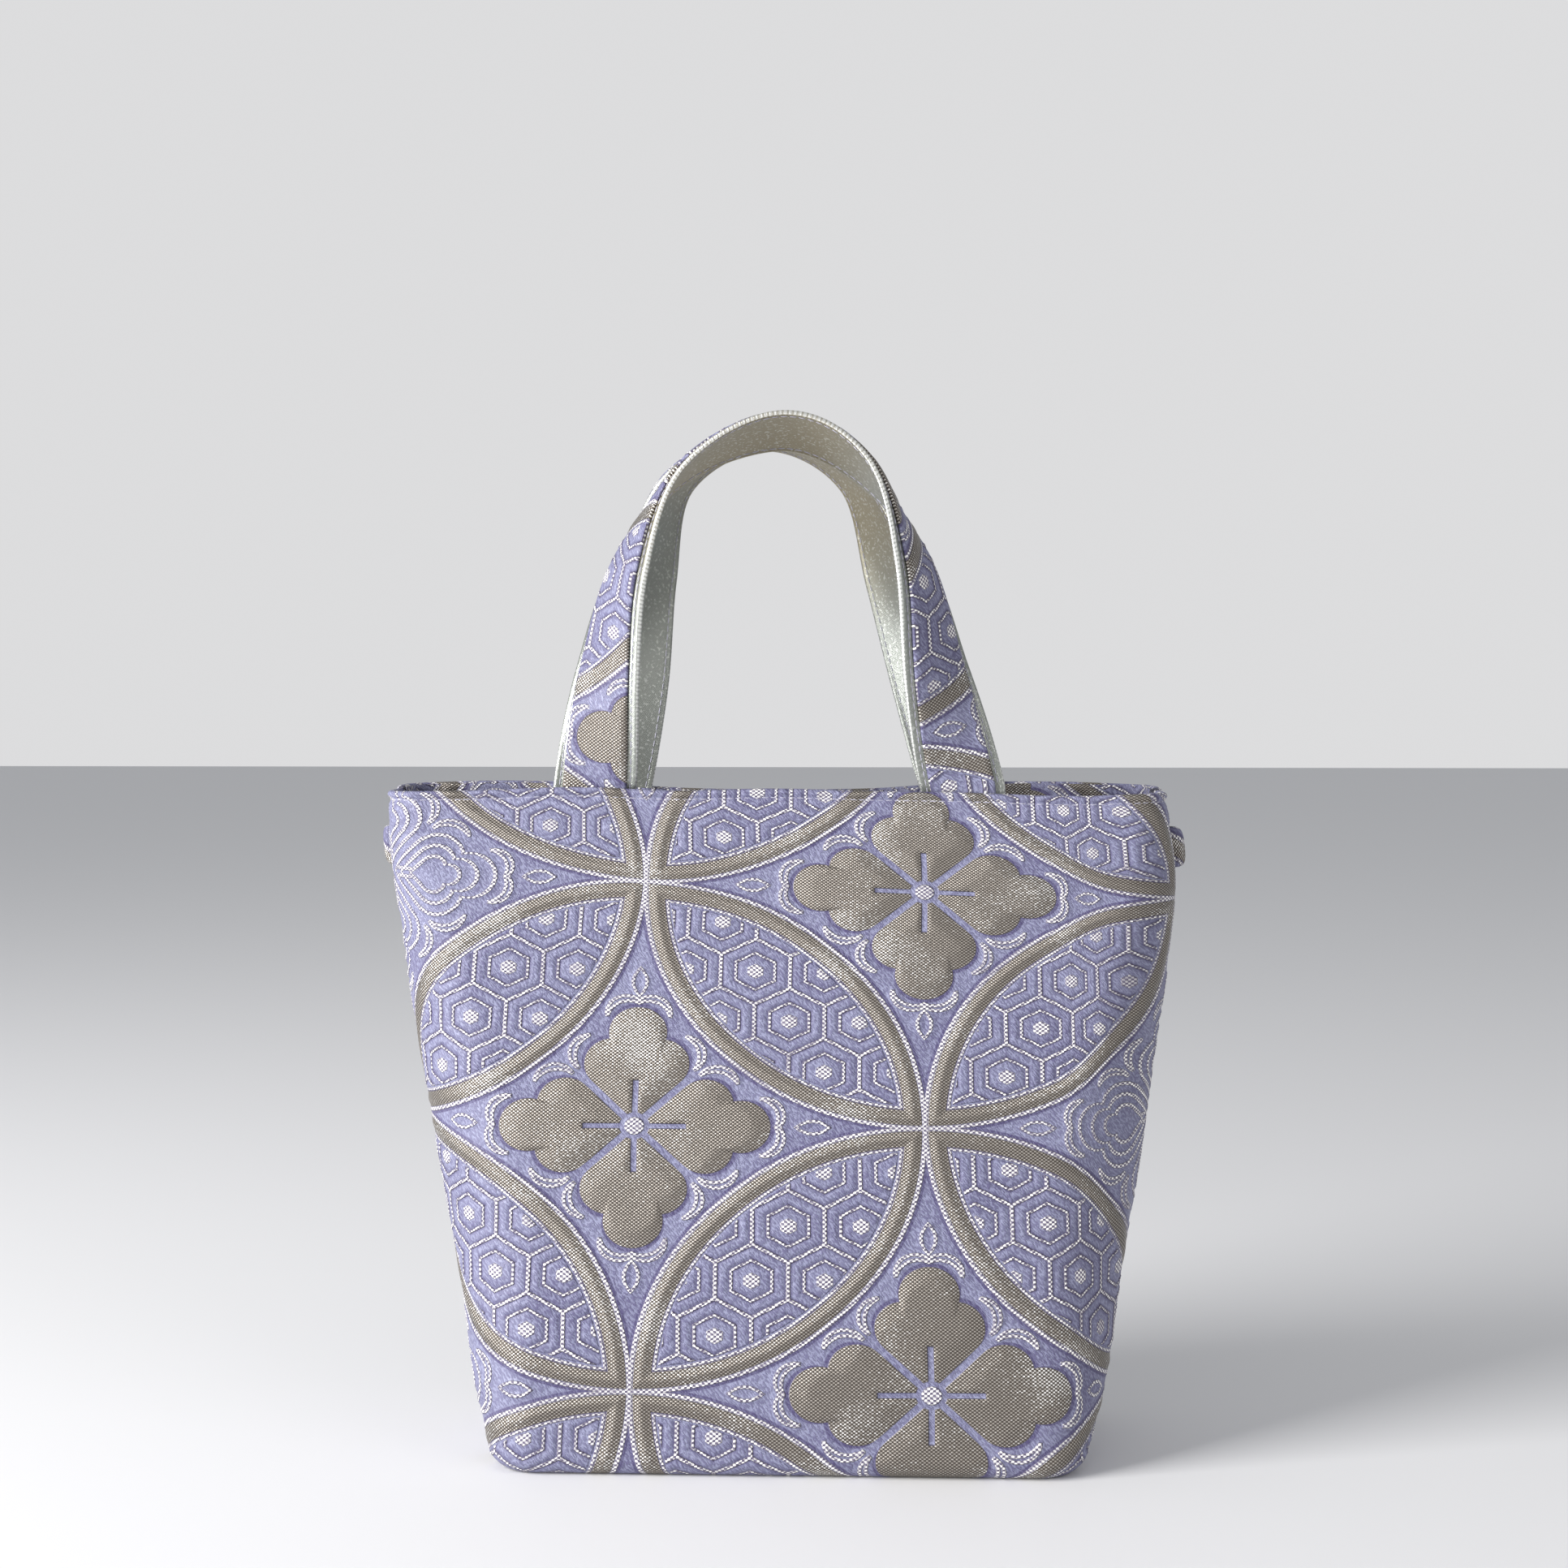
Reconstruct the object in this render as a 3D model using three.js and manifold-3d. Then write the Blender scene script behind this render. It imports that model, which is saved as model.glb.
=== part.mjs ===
import * as THREE from 'three';
import { mergeVertices } from 'three/addons/utils/BufferGeometryUtils.js';
import Module from 'manifold-3d';

const wasm = await Module();
wasm.setup();

// Small tote bag of woven brocade, in millimetres.
// The origin is the middle of the base, +Z is up, +X is to the right and the front faces -Y.

// Driving dimensions of the body
const RIM_HEIGHT = 224;
const CLOTH = 2.0;
const FACING_THICKNESS = 1.2;
const LINING_THICKNESS = 1.0;
const FIT_GAP = 0.3;
const LAYER_GAP = 0.8;
const SEAM_GAP = 0.3;
const BASE_FILLET = 6;
const BOARD_THICKNESS = 2.0;
const FACING_HEIGHT = 34;

// Half width, half depth, corner radius and front bulge of the body, at even heights from base to rim
const HALF_WIDTHS = [98, 105, 110.3, 115.3, 120.5, 125, 129, 131.5, 130];
const HALF_DEPTHS = [46, 45, 42.5, 39.5, 36.5, 33.5, 31, 28.5, 26];
const CORNER_RADII = [16, 22, 29, 33, 33, 30, 25, 18, 12];
const FRONT_BULGES = [0, 1.5, 3, 4, 4, 3.5, 2.5, 1.2, 0.4];

// Driving dimensions of the handles
const STRAP_WIDTH = 27.8;
const STRAP_BORDER = 3.2;
const BAND_THICKNESS = 1.6;
const STRIP_THICKNESS = 0.9;
const LEG_SPACING = 122.4;
const LEG_SEWN_LENGTH = 22;
const STRAP_GAP = 0.5;

// Route of each handle between its sewn legs, at even steps from the left leg to the right one:
// distance to the right, rise above the rim, turn about the centre line in degrees, and cupping
const FRONT_ROUTE = {
  across: [-61.8, -58.0, -50.0, -31.6, 0.5, 26.7, 43.9, 52.2, 60.6],
  rise: [0, 36.8, 73.6, 105.0, 119.0, 106.8, 75.3, 37.6, 0],
  turn: [0, 34, 61, 93, 111, 105, 68, 37, 0],
  cup: [0, 1.2, 2.4, 1.4, 0.8, 1.2, 2.4, 1.4, 0],
};
const BACK_ROUTE = {
  across: [-60.6, -49.6, -37.2, -22.6, 7.1, 37.2, 48.3, 54.1, 60.6],
  rise: [0, 35.6, 71.3, 105.6, 119.5, 105.4, 72.0, 36.0, 0],
  turn: [0, 25, 50, 75, 84, 75, 50, 25, 0],
  cup: [0, 1.0, 2.0, 1.2, 0.8, 1.2, 2.0, 1.0, 0],
};

// Driving dimensions of the two side tabs
const TAB_HEIGHT = 13.6;
const TAB_WALL = 1.0;
const TAB_BEND_RADIUS = 2.3;
const TAB_STRAIGHT = 3.2;
const TAB_TOP_BELOW_RIM = 13;

// The woven figure: a lattice of overlapping rings with a flower at each ring's centre
const RING_RADIUS = 95.5;
const RING_BAND = 6.8;
const ROW_SQUEEZE = 0.857;
const LATTICE_S = -46.3;
const LATTICE_Z = 192;
const RELIEF = 0.7;
const PETAL_TIP = { centre: 36, radius: 10, turn: 0 };
const PETAL_LOBE = { centre: 25.5, radius: 9.5, turn: THREE.MathUtils.degToRad(19.5) };

// Colours and finishes
const BROCADE = { color: 0x9a98c6, roughness: 0.62, metalness: 0.0 };
const LAME = { color: 0x9b978a, roughness: 0.35, metalness: 0.6 };
const SATIN = { color: 0xa6a4b4, roughness: 0.5, metalness: 0.0 };
const BOARD = { color: 0xcfc9bd, roughness: 0.8, metalness: 0.0 };

// Body section

// Smooth value at a height, through evenly spaced stations from base to rim
function stationCurve(values) {
  const points = values.map((value, index) => new THREE.Vector2(index, value));
  return new THREE.SplineCurve(points);
}

const halfWidth = stationCurve(HALF_WIDTHS);
const halfDepth = stationCurve(HALF_DEPTHS);
const cornerRadius = stationCurve(CORNER_RADII);
const frontBulge = stationCurve(FRONT_BULGES);

function sectionAt(z) {
  const t = THREE.MathUtils.clamp(z / RIM_HEIGHT, 0, 1);
  return {
    width: halfWidth.getPoint(t).y,
    depth: halfDepth.getPoint(t).y,
    corner: cornerRadius.getPoint(t).y,
    bulge: frontBulge.getPoint(t).y,
  };
}

// Arc length from the front centre to the side seam
function seamReach(section) {
  const straights = section.width + section.depth - 2 * section.corner;
  return straights + section.corner * Math.PI / 2;
}

// Point of the front half section at arc length s, moved outwards by offset.
// Past the side seam the side runs straight on.
function sectionPoint(section, s, offset) {
  const side = Math.sign(s) || 1;
  const reach = Math.abs(s);
  const flat = section.width - section.corner;
  const bend = section.corner * Math.PI / 2;
  let x = reach;
  let y = -section.depth - offset;
  if (reach > flat + bend) {
    x = section.width + offset;
    y = -section.depth + section.corner + (reach - flat - bend);
  } else if (reach > flat) {
    const angle = (reach - flat) / section.corner;
    const radius = section.corner + offset;
    x = flat + radius * Math.sin(angle);
    y = -section.depth + section.corner - radius * Math.cos(angle);
  }
  const inside = Math.min(x / section.width, 1);
  const depthwise = THREE.MathUtils.clamp(-y / section.depth, 0, 1);
  y -= section.bulge * (1 - inside * inside) * depthwise;
  return new THREE.Vector2(side * x, y);
}

// Column positions as arc lengths: front, corner and side are split evenly, each in its own count
const FRONT_STEPS = 8;
const CORNER_STEPS = 4;
const SIDE_STEPS = 1;

function columnReaches(section, trim) {
  const flat = section.width - section.corner;
  const bend = section.corner * Math.PI / 2;
  const seam = seamReach(section) - trim;
  const half = [];
  for (let i = 0; i <= FRONT_STEPS / 2; i++) {
    half.push(flat * i / (FRONT_STEPS / 2));
  }
  for (let i = 1; i <= CORNER_STEPS; i++) {
    half.push(flat + bend * i / CORNER_STEPS);
  }
  for (let i = 1; i <= SIDE_STEPS; i++) {
    half.push(flat + bend + (seam - flat - bend) * i / SIDE_STEPS);
  }
  const left = half.slice(1).reverse().map((reach) => -reach);
  return left.concat(half);
}

// Closed solids from grids

// Drops the triangles that merging has made flat, and gives a closed indexed geometry
function closedGeometry(positions, triangles) {
  const loose = new THREE.BufferGeometry();
  loose.setAttribute('position', new THREE.Float32BufferAttribute(positions, 3));
  loose.setIndex(triangles);
  const merged = mergeVertices(loose, 1e-4);
  const index = merged.getIndex().array;
  const kept = [];
  for (let i = 0; i < index.length; i += 3) {
    const [a, b, c] = [index[i], index[i + 1], index[i + 2]];
    if (a !== b && b !== c && c !== a) {
      kept.push(a, b, c);
    }
  }
  merged.setIndex(kept);
  return merged;
}

// A skin between an outer and an inner grid of points, with the same rows and columns.
// Rows run down and columns run to the right as seen from outside.
function skinGeometry(outer, inner) {
  const rows = outer.length;
  const columns = outer[0].length;
  const positions = [];
  for (const grid of [outer, inner]) {
    for (const row of grid) {
      for (const point of row) {
        positions.push(point.x, point.y, point.z);
      }
    }
  }
  const at = (layer, row, column) => (layer * rows + row) * columns + column;
  const triangles = [];
  const quad = (a, b, c, d) => triangles.push(a, b, c, a, c, d);
  for (let r = 0; r < rows - 1; r++) {
    for (let c = 0; c < columns - 1; c++) {
      quad(at(0, r, c), at(0, r + 1, c), at(0, r + 1, c + 1), at(0, r, c + 1));
      quad(at(1, r, c), at(1, r, c + 1), at(1, r + 1, c + 1), at(1, r + 1, c));
    }
  }
  for (let c = 0; c < columns - 1; c++) {
    const last = rows - 1;
    quad(at(0, 0, c), at(0, 0, c + 1), at(1, 0, c + 1), at(1, 0, c));
    quad(at(0, last, c), at(1, last, c), at(1, last, c + 1), at(0, last, c + 1));
  }
  for (let r = 0; r < rows - 1; r++) {
    const last = columns - 1;
    quad(at(0, r, 0), at(1, r, 0), at(1, r + 1, 0), at(0, r + 1, 0));
    quad(at(0, r, last), at(0, r + 1, last), at(1, r + 1, last), at(1, r, last));
  }
  return closedGeometry(positions, triangles);
}

// One row of points along the front half section
function wallRow(z, offset, trim) {
  const section = sectionAt(z);
  return columnReaches(section, trim).map((s) => {
    const flat = sectionPoint(section, s, offset(s, z));
    return new THREE.Vector3(flat.x, flat.y, z);
  });
}

// Rows round the base edge and over the base to the centre seam, at an offset from the outer face.
// Lift raises the whole base for the layers that lie on the board.
const FILLET_ANGLES = [30, 60, 90].map(THREE.MathUtils.degToRad);
const BASE_SHARES = [0.5, 1];

function baseRows(offset, lift) {
  const rows = [];
  const radius = BASE_FILLET + offset;
  for (const angle of FILLET_ANGLES) {
    const z = BASE_FILLET + lift - radius * Math.sin(angle);
    const inset = radius * Math.cos(angle) - BASE_FILLET;
    const nominal = BASE_FILLET * (1 - Math.sin(angle));
    const row = wallRow(nominal, () => inset, SEAM_GAP / 2);
    rows.push(row.map((point) => point.setZ(z)));
  }
  const edge = rows[rows.length - 1];
  for (const share of BASE_SHARES) {
    rows.push(edge.map((point) => {
      const y = THREE.MathUtils.lerp(point.y, -SEAM_GAP / 2, share);
      return new THREE.Vector3(point.x, y, point.z);
    }));
  }
  return rows;
}

// Outer panel

// The rim is a rolled edge with a stitched groove under it: height below the rim and swell
const RIM_ROLL = [
  { below: 0, swell: -0.5 },
  { below: 1.3, swell: 0.6 },
  { below: 2.8, swell: 0.45 },
  { below: 3.6, swell: -0.25 },
  { below: 5.2, swell: 0 },
];
const STATIONS = HALF_WIDTHS.length - 1;
const WALL_HEIGHTS = [7, 6, 5, 4, 3, 2, 1].map((station) => RIM_HEIGHT * station / STATIONS);
WALL_HEIGHTS.push(BASE_FILLET);

function panelShell() {
  const outer = RIM_ROLL.map((step) => wallRow(RIM_HEIGHT - step.below, () => step.swell, SEAM_GAP / 2));
  const inner = RIM_ROLL.map((step) => wallRow(RIM_HEIGHT - step.below, () => -CLOTH, SEAM_GAP / 2));
  for (const z of WALL_HEIGHTS) {
    outer.push(wallRow(z, () => 0, SEAM_GAP / 2));
    inner.push(wallRow(z, () => -CLOTH, SEAM_GAP / 2));
  }
  outer.push(...baseRows(0, 0));
  inner.push(...baseRows(-CLOTH, 0));
  return skinGeometry(outer, inner);
}

// The thin layer that the raised figure may fill: clear of the rim roll, the seams and the base
const RELIEF_TOP = 5.2;
const RELIEF_SEAM_MARGIN = 4;
const RELIEF_ROOT = 0.7;

function reliefLayer() {
  const heights = [RIM_HEIGHT - RELIEF_TOP, ...WALL_HEIGHTS];
  const outer = heights.map((z) => wallRow(z, () => RELIEF, RELIEF_SEAM_MARGIN));
  const inner = heights.map((z) => wallRow(z, () => -RELIEF_ROOT, RELIEF_SEAM_MARGIN));
  return skinGeometry(outer, inner);
}

// A flat outline on the cloth becomes a prism that crosses the panel's outer face.
// The outline is in lattice units round the motif's centre; depth direction is the offset.
const PRISM_INSIDE = 4.5;
const PRISM_OUTSIDE = 5;

function wrappedPrism(shape, centreS, centreZ, curveSteps) {
  const prism = new THREE.ExtrudeGeometry(shape, {
    depth: PRISM_INSIDE + PRISM_OUTSIDE,
    bevelEnabled: false,
    curveSegments: curveSteps,
  });
  prism.deleteAttribute('normal');
  prism.deleteAttribute('uv');
  const place = prism.getAttribute('position');
  for (let i = 0; i < place.count; i++) {
    const s = centreS + place.getX(i);
    const z = centreZ + place.getY(i) * ROW_SQUEEZE;
    const flat = sectionPoint(sectionAt(z), s, place.getZ(i) - PRISM_INSIDE);
    place.setXYZ(i, flat.x, flat.y, z);
  }
  return mergeVertices(prism, 1e-4);
}

function ringShape() {
  const shape = new THREE.Shape();
  shape.absarc(0, 0, RING_RADIUS, 0, Math.PI * 2);
  const hole = new THREE.Path();
  hole.absarc(0, 0, RING_RADIUS - RING_BAND, 0, Math.PI * 2);
  shape.holes.push(hole);
  return shape;
}

// Distance from the flower's centre to the far side of a lobe, at an angle off the petal's line
function lobeReach(lobe, angle) {
  const off = angle - lobe.turn;
  const room = lobe.radius ** 2 - (lobe.centre * Math.sin(off)) ** 2;
  return room < 0 ? 0 : lobe.centre * Math.cos(off) + Math.sqrt(room);
}

// A petal has a round tip and two side lobes, and narrows to the flower's centre
const PETAL_STEPS = 12;
const PETAL_HALF_ANGLE = THREE.MathUtils.degToRad(41);
const PETAL_START = 3;

function petalShape(turn) {
  const points = [new THREE.Vector2(PETAL_START, 0)];
  for (let i = 0; i <= PETAL_STEPS; i++) {
    const angle = THREE.MathUtils.lerp(-PETAL_HALF_ANGLE, PETAL_HALF_ANGLE, i / PETAL_STEPS);
    const lobe = lobeReach(PETAL_LOBE, Math.abs(angle));
    const reach = Math.max(lobe, lobeReach(PETAL_TIP, angle));
    points.push(new THREE.Vector2(reach * Math.cos(angle), reach * Math.sin(angle)));
  }
  const middle = new THREE.Vector2(0, 0);
  return new THREE.Shape(points.map((point) => point.rotateAround(middle, turn)));
}

function toSolid(geometry) {
  const vertProperties = new Float32Array(geometry.getAttribute('position').array);
  const triVerts = new Uint32Array(geometry.getIndex().array);
  return new wasm.Manifold(new wasm.Mesh({ numProp: 3, vertProperties, triVerts }));
}

function toGeometry(solid) {
  const mesh = solid.getMesh();
  const geometry = new THREE.BufferGeometry();
  geometry.setAttribute('position', new THREE.Float32BufferAttribute(mesh.vertProperties, 3));
  geometry.setIndex(Array.from(mesh.triVerts));
  return geometry;
}

// Rings stand round every second node of the lattice, and every second ring's flower is a filled one
const LATTICE_COLUMNS = [-2, -1, 0, 1, 2, 3];
const LATTICE_ROWS = [-1, 0, 1, 2, 3];
const RING_STEPS = 14;

function raisedFigure() {
  let figure = null;
  const add = (geometry) => {
    const solid = toSolid(geometry);
    figure = figure ? figure.add(solid) : solid;
  };
  for (const column of LATTICE_COLUMNS) {
    for (const row of LATTICE_ROWS) {
      if ((column + row) % 2 === 0) {
        continue;
      }
      const s = LATTICE_S + column * RING_RADIUS;
      const z = LATTICE_Z - row * RING_RADIUS * ROW_SQUEEZE;
      add(wrappedPrism(ringShape(), s, z, RING_STEPS));
      if (column === 0 || column === 1) {
        for (let quarter = 0; quarter < 4; quarter++) {
          add(wrappedPrism(petalShape(quarter * Math.PI / 2), s, z, 1));
        }
      }
    }
  }
  return figure;
}

function outerPanel() {
  const figure = raisedFigure().intersect(toSolid(reliefLayer()));
  return toGeometry(toSolid(panelShell()).add(figure));
}

// Facing and lining

// How far the facing stands off to make room for a strap's leg, from 0 to 1
const LEG_EASE = 9;
const LEG_MARGIN = 2;

function legRoom(s, z) {
  const fromLeg = Math.abs(Math.abs(s) - LEG_SPACING / 2) - STRAP_WIDTH / 2 - LEG_MARGIN;
  const across = 1 - THREE.MathUtils.smoothstep(fromLeg, 0, LEG_EASE);
  const fromEnd = RIM_HEIGHT - LEG_SEWN_LENGTH - 1 - z;
  return across * (1 - THREE.MathUtils.smoothstep(fromEnd, 0, LEG_EASE));
}

const STRAP_THICKNESS = BAND_THICKNESS + FIT_GAP + STRIP_THICKNESS;
const FACING_TOP_BELOW_RIM = 0.6;
const FACING_COLUMNS = 32;
const FACING_BELOW = [FACING_TOP_BELOW_RIM, 12, 23, 28, FACING_HEIGHT];

function facingRow(below, depth) {
  const z = RIM_HEIGHT - below;
  const section = sectionAt(z);
  const seam = seamReach(section) - SEAM_GAP / 2;
  const row = [];
  for (let i = 0; i <= FACING_COLUMNS; i++) {
    const s = seam * (2 * i / FACING_COLUMNS - 1);
    const stand = (STRAP_THICKNESS + STRAP_GAP) * legRoom(s, z);
    const flat = sectionPoint(section, s, -(CLOTH + LAYER_GAP + stand + depth));
    row.push(new THREE.Vector3(flat.x, flat.y, z));
  }
  return row;
}

function facing() {
  const outer = FACING_BELOW.map((below) => facingRow(below, 0));
  const inner = FACING_BELOW.map((below) => facingRow(below, FACING_THICKNESS));
  return skinGeometry(outer, inner);
}

const LINING_LIFT = BOARD_THICKNESS;

function lining() {
  const top = RIM_HEIGHT - FACING_HEIGHT - FIT_GAP;
  const heights = [top, ...WALL_HEIGHTS.filter((z) => z < top - 10 && z > BASE_FILLET)];
  heights.push(BASE_FILLET + LINING_LIFT);
  const outerOffset = -(CLOTH + LAYER_GAP);
  const innerOffset = outerOffset - LINING_THICKNESS;
  const outer = heights.map((z) => wallRow(z, () => outerOffset, SEAM_GAP / 2));
  const inner = heights.map((z) => wallRow(z, () => innerOffset, SEAM_GAP / 2));
  outer.push(...baseRows(outerOffset, LINING_LIFT));
  inner.push(...baseRows(innerOffset, LINING_LIFT));
  return skinGeometry(outer, inner);
}

// Base board, a stiff sheet between the base cloth and the lining
const BOARD_INSET = 6;
const BOARD_CORNER = 12;

function roundedRectangle(halfX, halfY, radius) {
  const shape = new THREE.Shape();
  shape.absarc(halfX - radius, halfY - radius, radius, 0, Math.PI / 2);
  shape.absarc(radius - halfX, halfY - radius, radius, Math.PI / 2, Math.PI);
  shape.absarc(radius - halfX, radius - halfY, radius, Math.PI, Math.PI * 1.5);
  shape.absarc(halfX - radius, radius - halfY, radius, Math.PI * 1.5, Math.PI * 2);
  return shape;
}

function baseBoard() {
  const outline = roundedRectangle(HALF_WIDTHS[0] - BOARD_INSET, HALF_DEPTHS[0] - BOARD_INSET, BOARD_CORNER);
  const board = new THREE.ExtrudeGeometry(outline, {
    depth: BOARD_THICKNESS,
    bevelEnabled: false,
    curveSegments: 6,
  });
  return board.translate(0, 0, CLOTH + FIT_GAP);
}

// Handles

// Centre line of a handle: two sewn legs and an arch between them
const ARCH_STEPS = 36;
const LEG_DROPS = [LEG_SEWN_LENGTH, LEG_SEWN_LENGTH / 2];

function legDepth(x, z) {
  const section = sectionAt(z);
  const face = sectionPoint(section, x, -(CLOTH + STRAP_GAP + STRAP_THICKNESS / 2));
  return face.y;
}

function legPoint(x, drop) {
  const z = RIM_HEIGHT - drop;
  return { centre: new THREE.Vector3(x, legDepth(x, z), z), turn: 0, cup: 0 };
}

function routePoints(route) {
  const across = stationCurve(route.across);
  const rise = stationCurve(route.rise);
  const turn = stationCurve(route.turn);
  const cup = stationCurve(route.cup);
  const depth = legDepth(LEG_SPACING / 2, RIM_HEIGHT);
  const arch = [];
  for (let i = 0; i <= ARCH_STEPS; i++) {
    const share = i / ARCH_STEPS;
    const z = RIM_HEIGHT + rise.getPoint(share).y;
    arch.push({
      centre: new THREE.Vector3(across.getPoint(share).y, depth, z),
      turn: THREE.MathUtils.degToRad(turn.getPoint(share).y),
      cup: cup.getPoint(share).y,
    });
  }
  const left = LEG_DROPS.map((drop) => legPoint(route.across[0], drop));
  const right = LEG_DROPS.toReversed().map((drop) => legPoint(route.across.at(-1), drop));
  return [...left, ...arch, ...right];
}

// The strap lies flat on the panel at its legs, and turns on its centre line as it rises,
// until its outer face looks up and a little backwards at the top
function strapFrames(route) {
  const points = routePoints(route);
  return points.map(({ centre, turn, cup }, i) => {
    const before = points[Math.max(i - 1, 0)].centre;
    const after = points[Math.min(i + 1, points.length - 1)].centre;
    const along = after.clone().sub(before).normalize();
    const inward = new THREE.Vector3(along.z, 0, -along.x).normalize();
    const across = inward.multiplyScalar(Math.cos(turn)).add(new THREE.Vector3(0, -Math.sin(turn), 0));
    const face = across.clone().cross(along).normalize();
    return { centre, across, face, cup };
  });
}

// A ribbon on the strap's frames, between two heights off the centre line.
// Its lines lie at the given distances across the strap, and cupping lifts its middle.
function ribbon(frames, lines, low, high) {
  const corner = (frame, across, height) => {
    const share = across / (STRAP_WIDTH / 2);
    const lift = frame.cup * (1 - share * share);
    return frame.centre.clone()
      .addScaledVector(frame.across, across)
      .addScaledVector(frame.face, height + lift);
  };
  const grid = (height) => lines.map((across) => frames.map((frame) => corner(frame, across, height)));
  return skinGeometry(grid(high), grid(low));
}

const STRIP_HALF = STRAP_WIDTH / 2 - STRAP_BORDER;
const STRIP_LINES = [-STRIP_HALF, 0, STRIP_HALF];
const BAND_LINES = [-STRAP_WIDTH / 2, ...STRIP_LINES, STRAP_WIDTH / 2];

function handleBand(route) {
  const low = -STRAP_THICKNESS / 2;
  return ribbon(strapFrames(route), BAND_LINES, low, low + BAND_THICKNESS);
}

function handleStrip(route) {
  const high = STRAP_THICKNESS / 2;
  return ribbon(strapFrames(route), STRIP_LINES, high - STRIP_THICKNESS, high);
}

// Side tabs: a ribbon folded in half on a side seam, with its fold outwards
function sideTab() {
  const inner = TAB_BEND_RADIUS - TAB_WALL;
  const shape = new THREE.Shape();
  shape.moveTo(0, -TAB_BEND_RADIUS);
  shape.lineTo(TAB_STRAIGHT, -TAB_BEND_RADIUS);
  shape.absarc(TAB_STRAIGHT, 0, TAB_BEND_RADIUS, -Math.PI / 2, Math.PI / 2);
  shape.lineTo(0, TAB_BEND_RADIUS);
  shape.lineTo(0, inner);
  shape.lineTo(TAB_STRAIGHT, inner);
  shape.absarc(TAB_STRAIGHT, 0, inner, Math.PI / 2, -Math.PI / 2, true);
  shape.lineTo(0, -inner);
  return new THREE.ExtrudeGeometry(shape, { depth: TAB_HEIGHT, bevelEnabled: false, curveSegments: 8 });
}

// Assembly
const tote = new THREE.Group();

function addPiece(name, geometry, finish, turn) {
  const piece = new THREE.Mesh(geometry, new THREE.MeshStandardMaterial(finish));
  piece.name = name;
  piece.rotation.z = turn;
  tote.add(piece);
  return piece;
}

const FRONT = 0;
const BACK = Math.PI;

for (const [side, turn, route] of [['front', FRONT, FRONT_ROUTE], ['back', BACK, BACK_ROUTE]]) {
  addPiece(`${side}_panel`, outerPanel(), BROCADE, turn);
  addPiece(`${side}_facing`, facing(), BROCADE, turn);
  addPiece(`${side}_lining`, lining(), SATIN, turn);
  addPiece(`${side}_handle_band`, handleBand(route), LAME, turn);
  addPiece(`${side}_handle_strip`, handleStrip(route), BROCADE, turn);
}

addPiece('base_board', baseBoard(), BOARD, FRONT);

const tabBase = RIM_HEIGHT - TAB_TOP_BELOW_RIM - TAB_HEIGHT;
const tabReach = Math.max(sectionAt(tabBase).width, sectionAt(tabBase + TAB_HEIGHT).width) + FIT_GAP;

for (const [name, side, turn] of [['right_side_tab', 1, FRONT], ['left_side_tab', -1, BACK]]) {
  const tab = addPiece(name, sideTab(), BROCADE, turn);
  tab.position.set(side * tabReach, 0, tabBase);
}

export default tote;
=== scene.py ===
import bpy
import numpy as np
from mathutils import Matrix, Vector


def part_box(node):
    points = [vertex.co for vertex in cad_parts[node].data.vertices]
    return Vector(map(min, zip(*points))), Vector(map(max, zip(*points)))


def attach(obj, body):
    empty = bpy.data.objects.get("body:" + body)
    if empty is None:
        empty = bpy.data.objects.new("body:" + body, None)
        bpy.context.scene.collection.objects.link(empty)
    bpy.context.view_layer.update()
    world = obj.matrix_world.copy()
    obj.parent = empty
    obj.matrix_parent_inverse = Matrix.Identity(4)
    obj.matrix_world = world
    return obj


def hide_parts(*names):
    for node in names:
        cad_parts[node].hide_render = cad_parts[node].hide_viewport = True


# A small tote bag of woven brocade, dressed round its solids.
# Shapes are worked out in millimetres and stored in metres; +Z is up and the front faces -Y.
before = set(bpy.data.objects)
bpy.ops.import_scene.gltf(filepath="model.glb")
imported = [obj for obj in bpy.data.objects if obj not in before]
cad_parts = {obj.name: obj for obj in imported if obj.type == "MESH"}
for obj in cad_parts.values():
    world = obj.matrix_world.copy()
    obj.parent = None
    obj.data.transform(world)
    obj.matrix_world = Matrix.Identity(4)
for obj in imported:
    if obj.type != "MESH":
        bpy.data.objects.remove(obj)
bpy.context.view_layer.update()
MM = 0.001

# Camera
# It stands almost level with the rim, a little to the right of the bag, and looks slightly down.
CAMERA_PLACE = (37.7, -900.0, 260.6)
CAMERA_TURN = 0.0415
CAMERA_DIP = 0.0393
CAMERA_LENS = 60.9

camera_data = bpy.data.cameras.new("camera")
camera_data.lens = CAMERA_LENS
camera_data.sensor_width = 36.0
camera_data.clip_start = 0.01
camera = bpy.data.objects.new("camera", camera_data)
camera.location = [value * MM for value in CAMERA_PLACE]
camera.rotation_euler = (np.pi / 2 - CAMERA_DIP, 0.0, CAMERA_TURN)
bpy.context.scene.collection.objects.link(camera)
bpy.context.scene.camera = camera

# Body
# Two panels of brocade backed with interfacing, sewn together at the sides and along the middle
# of the base. The sewn corners of the base make it boxed, and the mouth flares wider than the base.
RIM_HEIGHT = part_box("front_panel")[1].z / MM
CLOTH = 2.0
SEAM_GAP = 0.3
BASE_FILLET = 6.0
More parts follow.
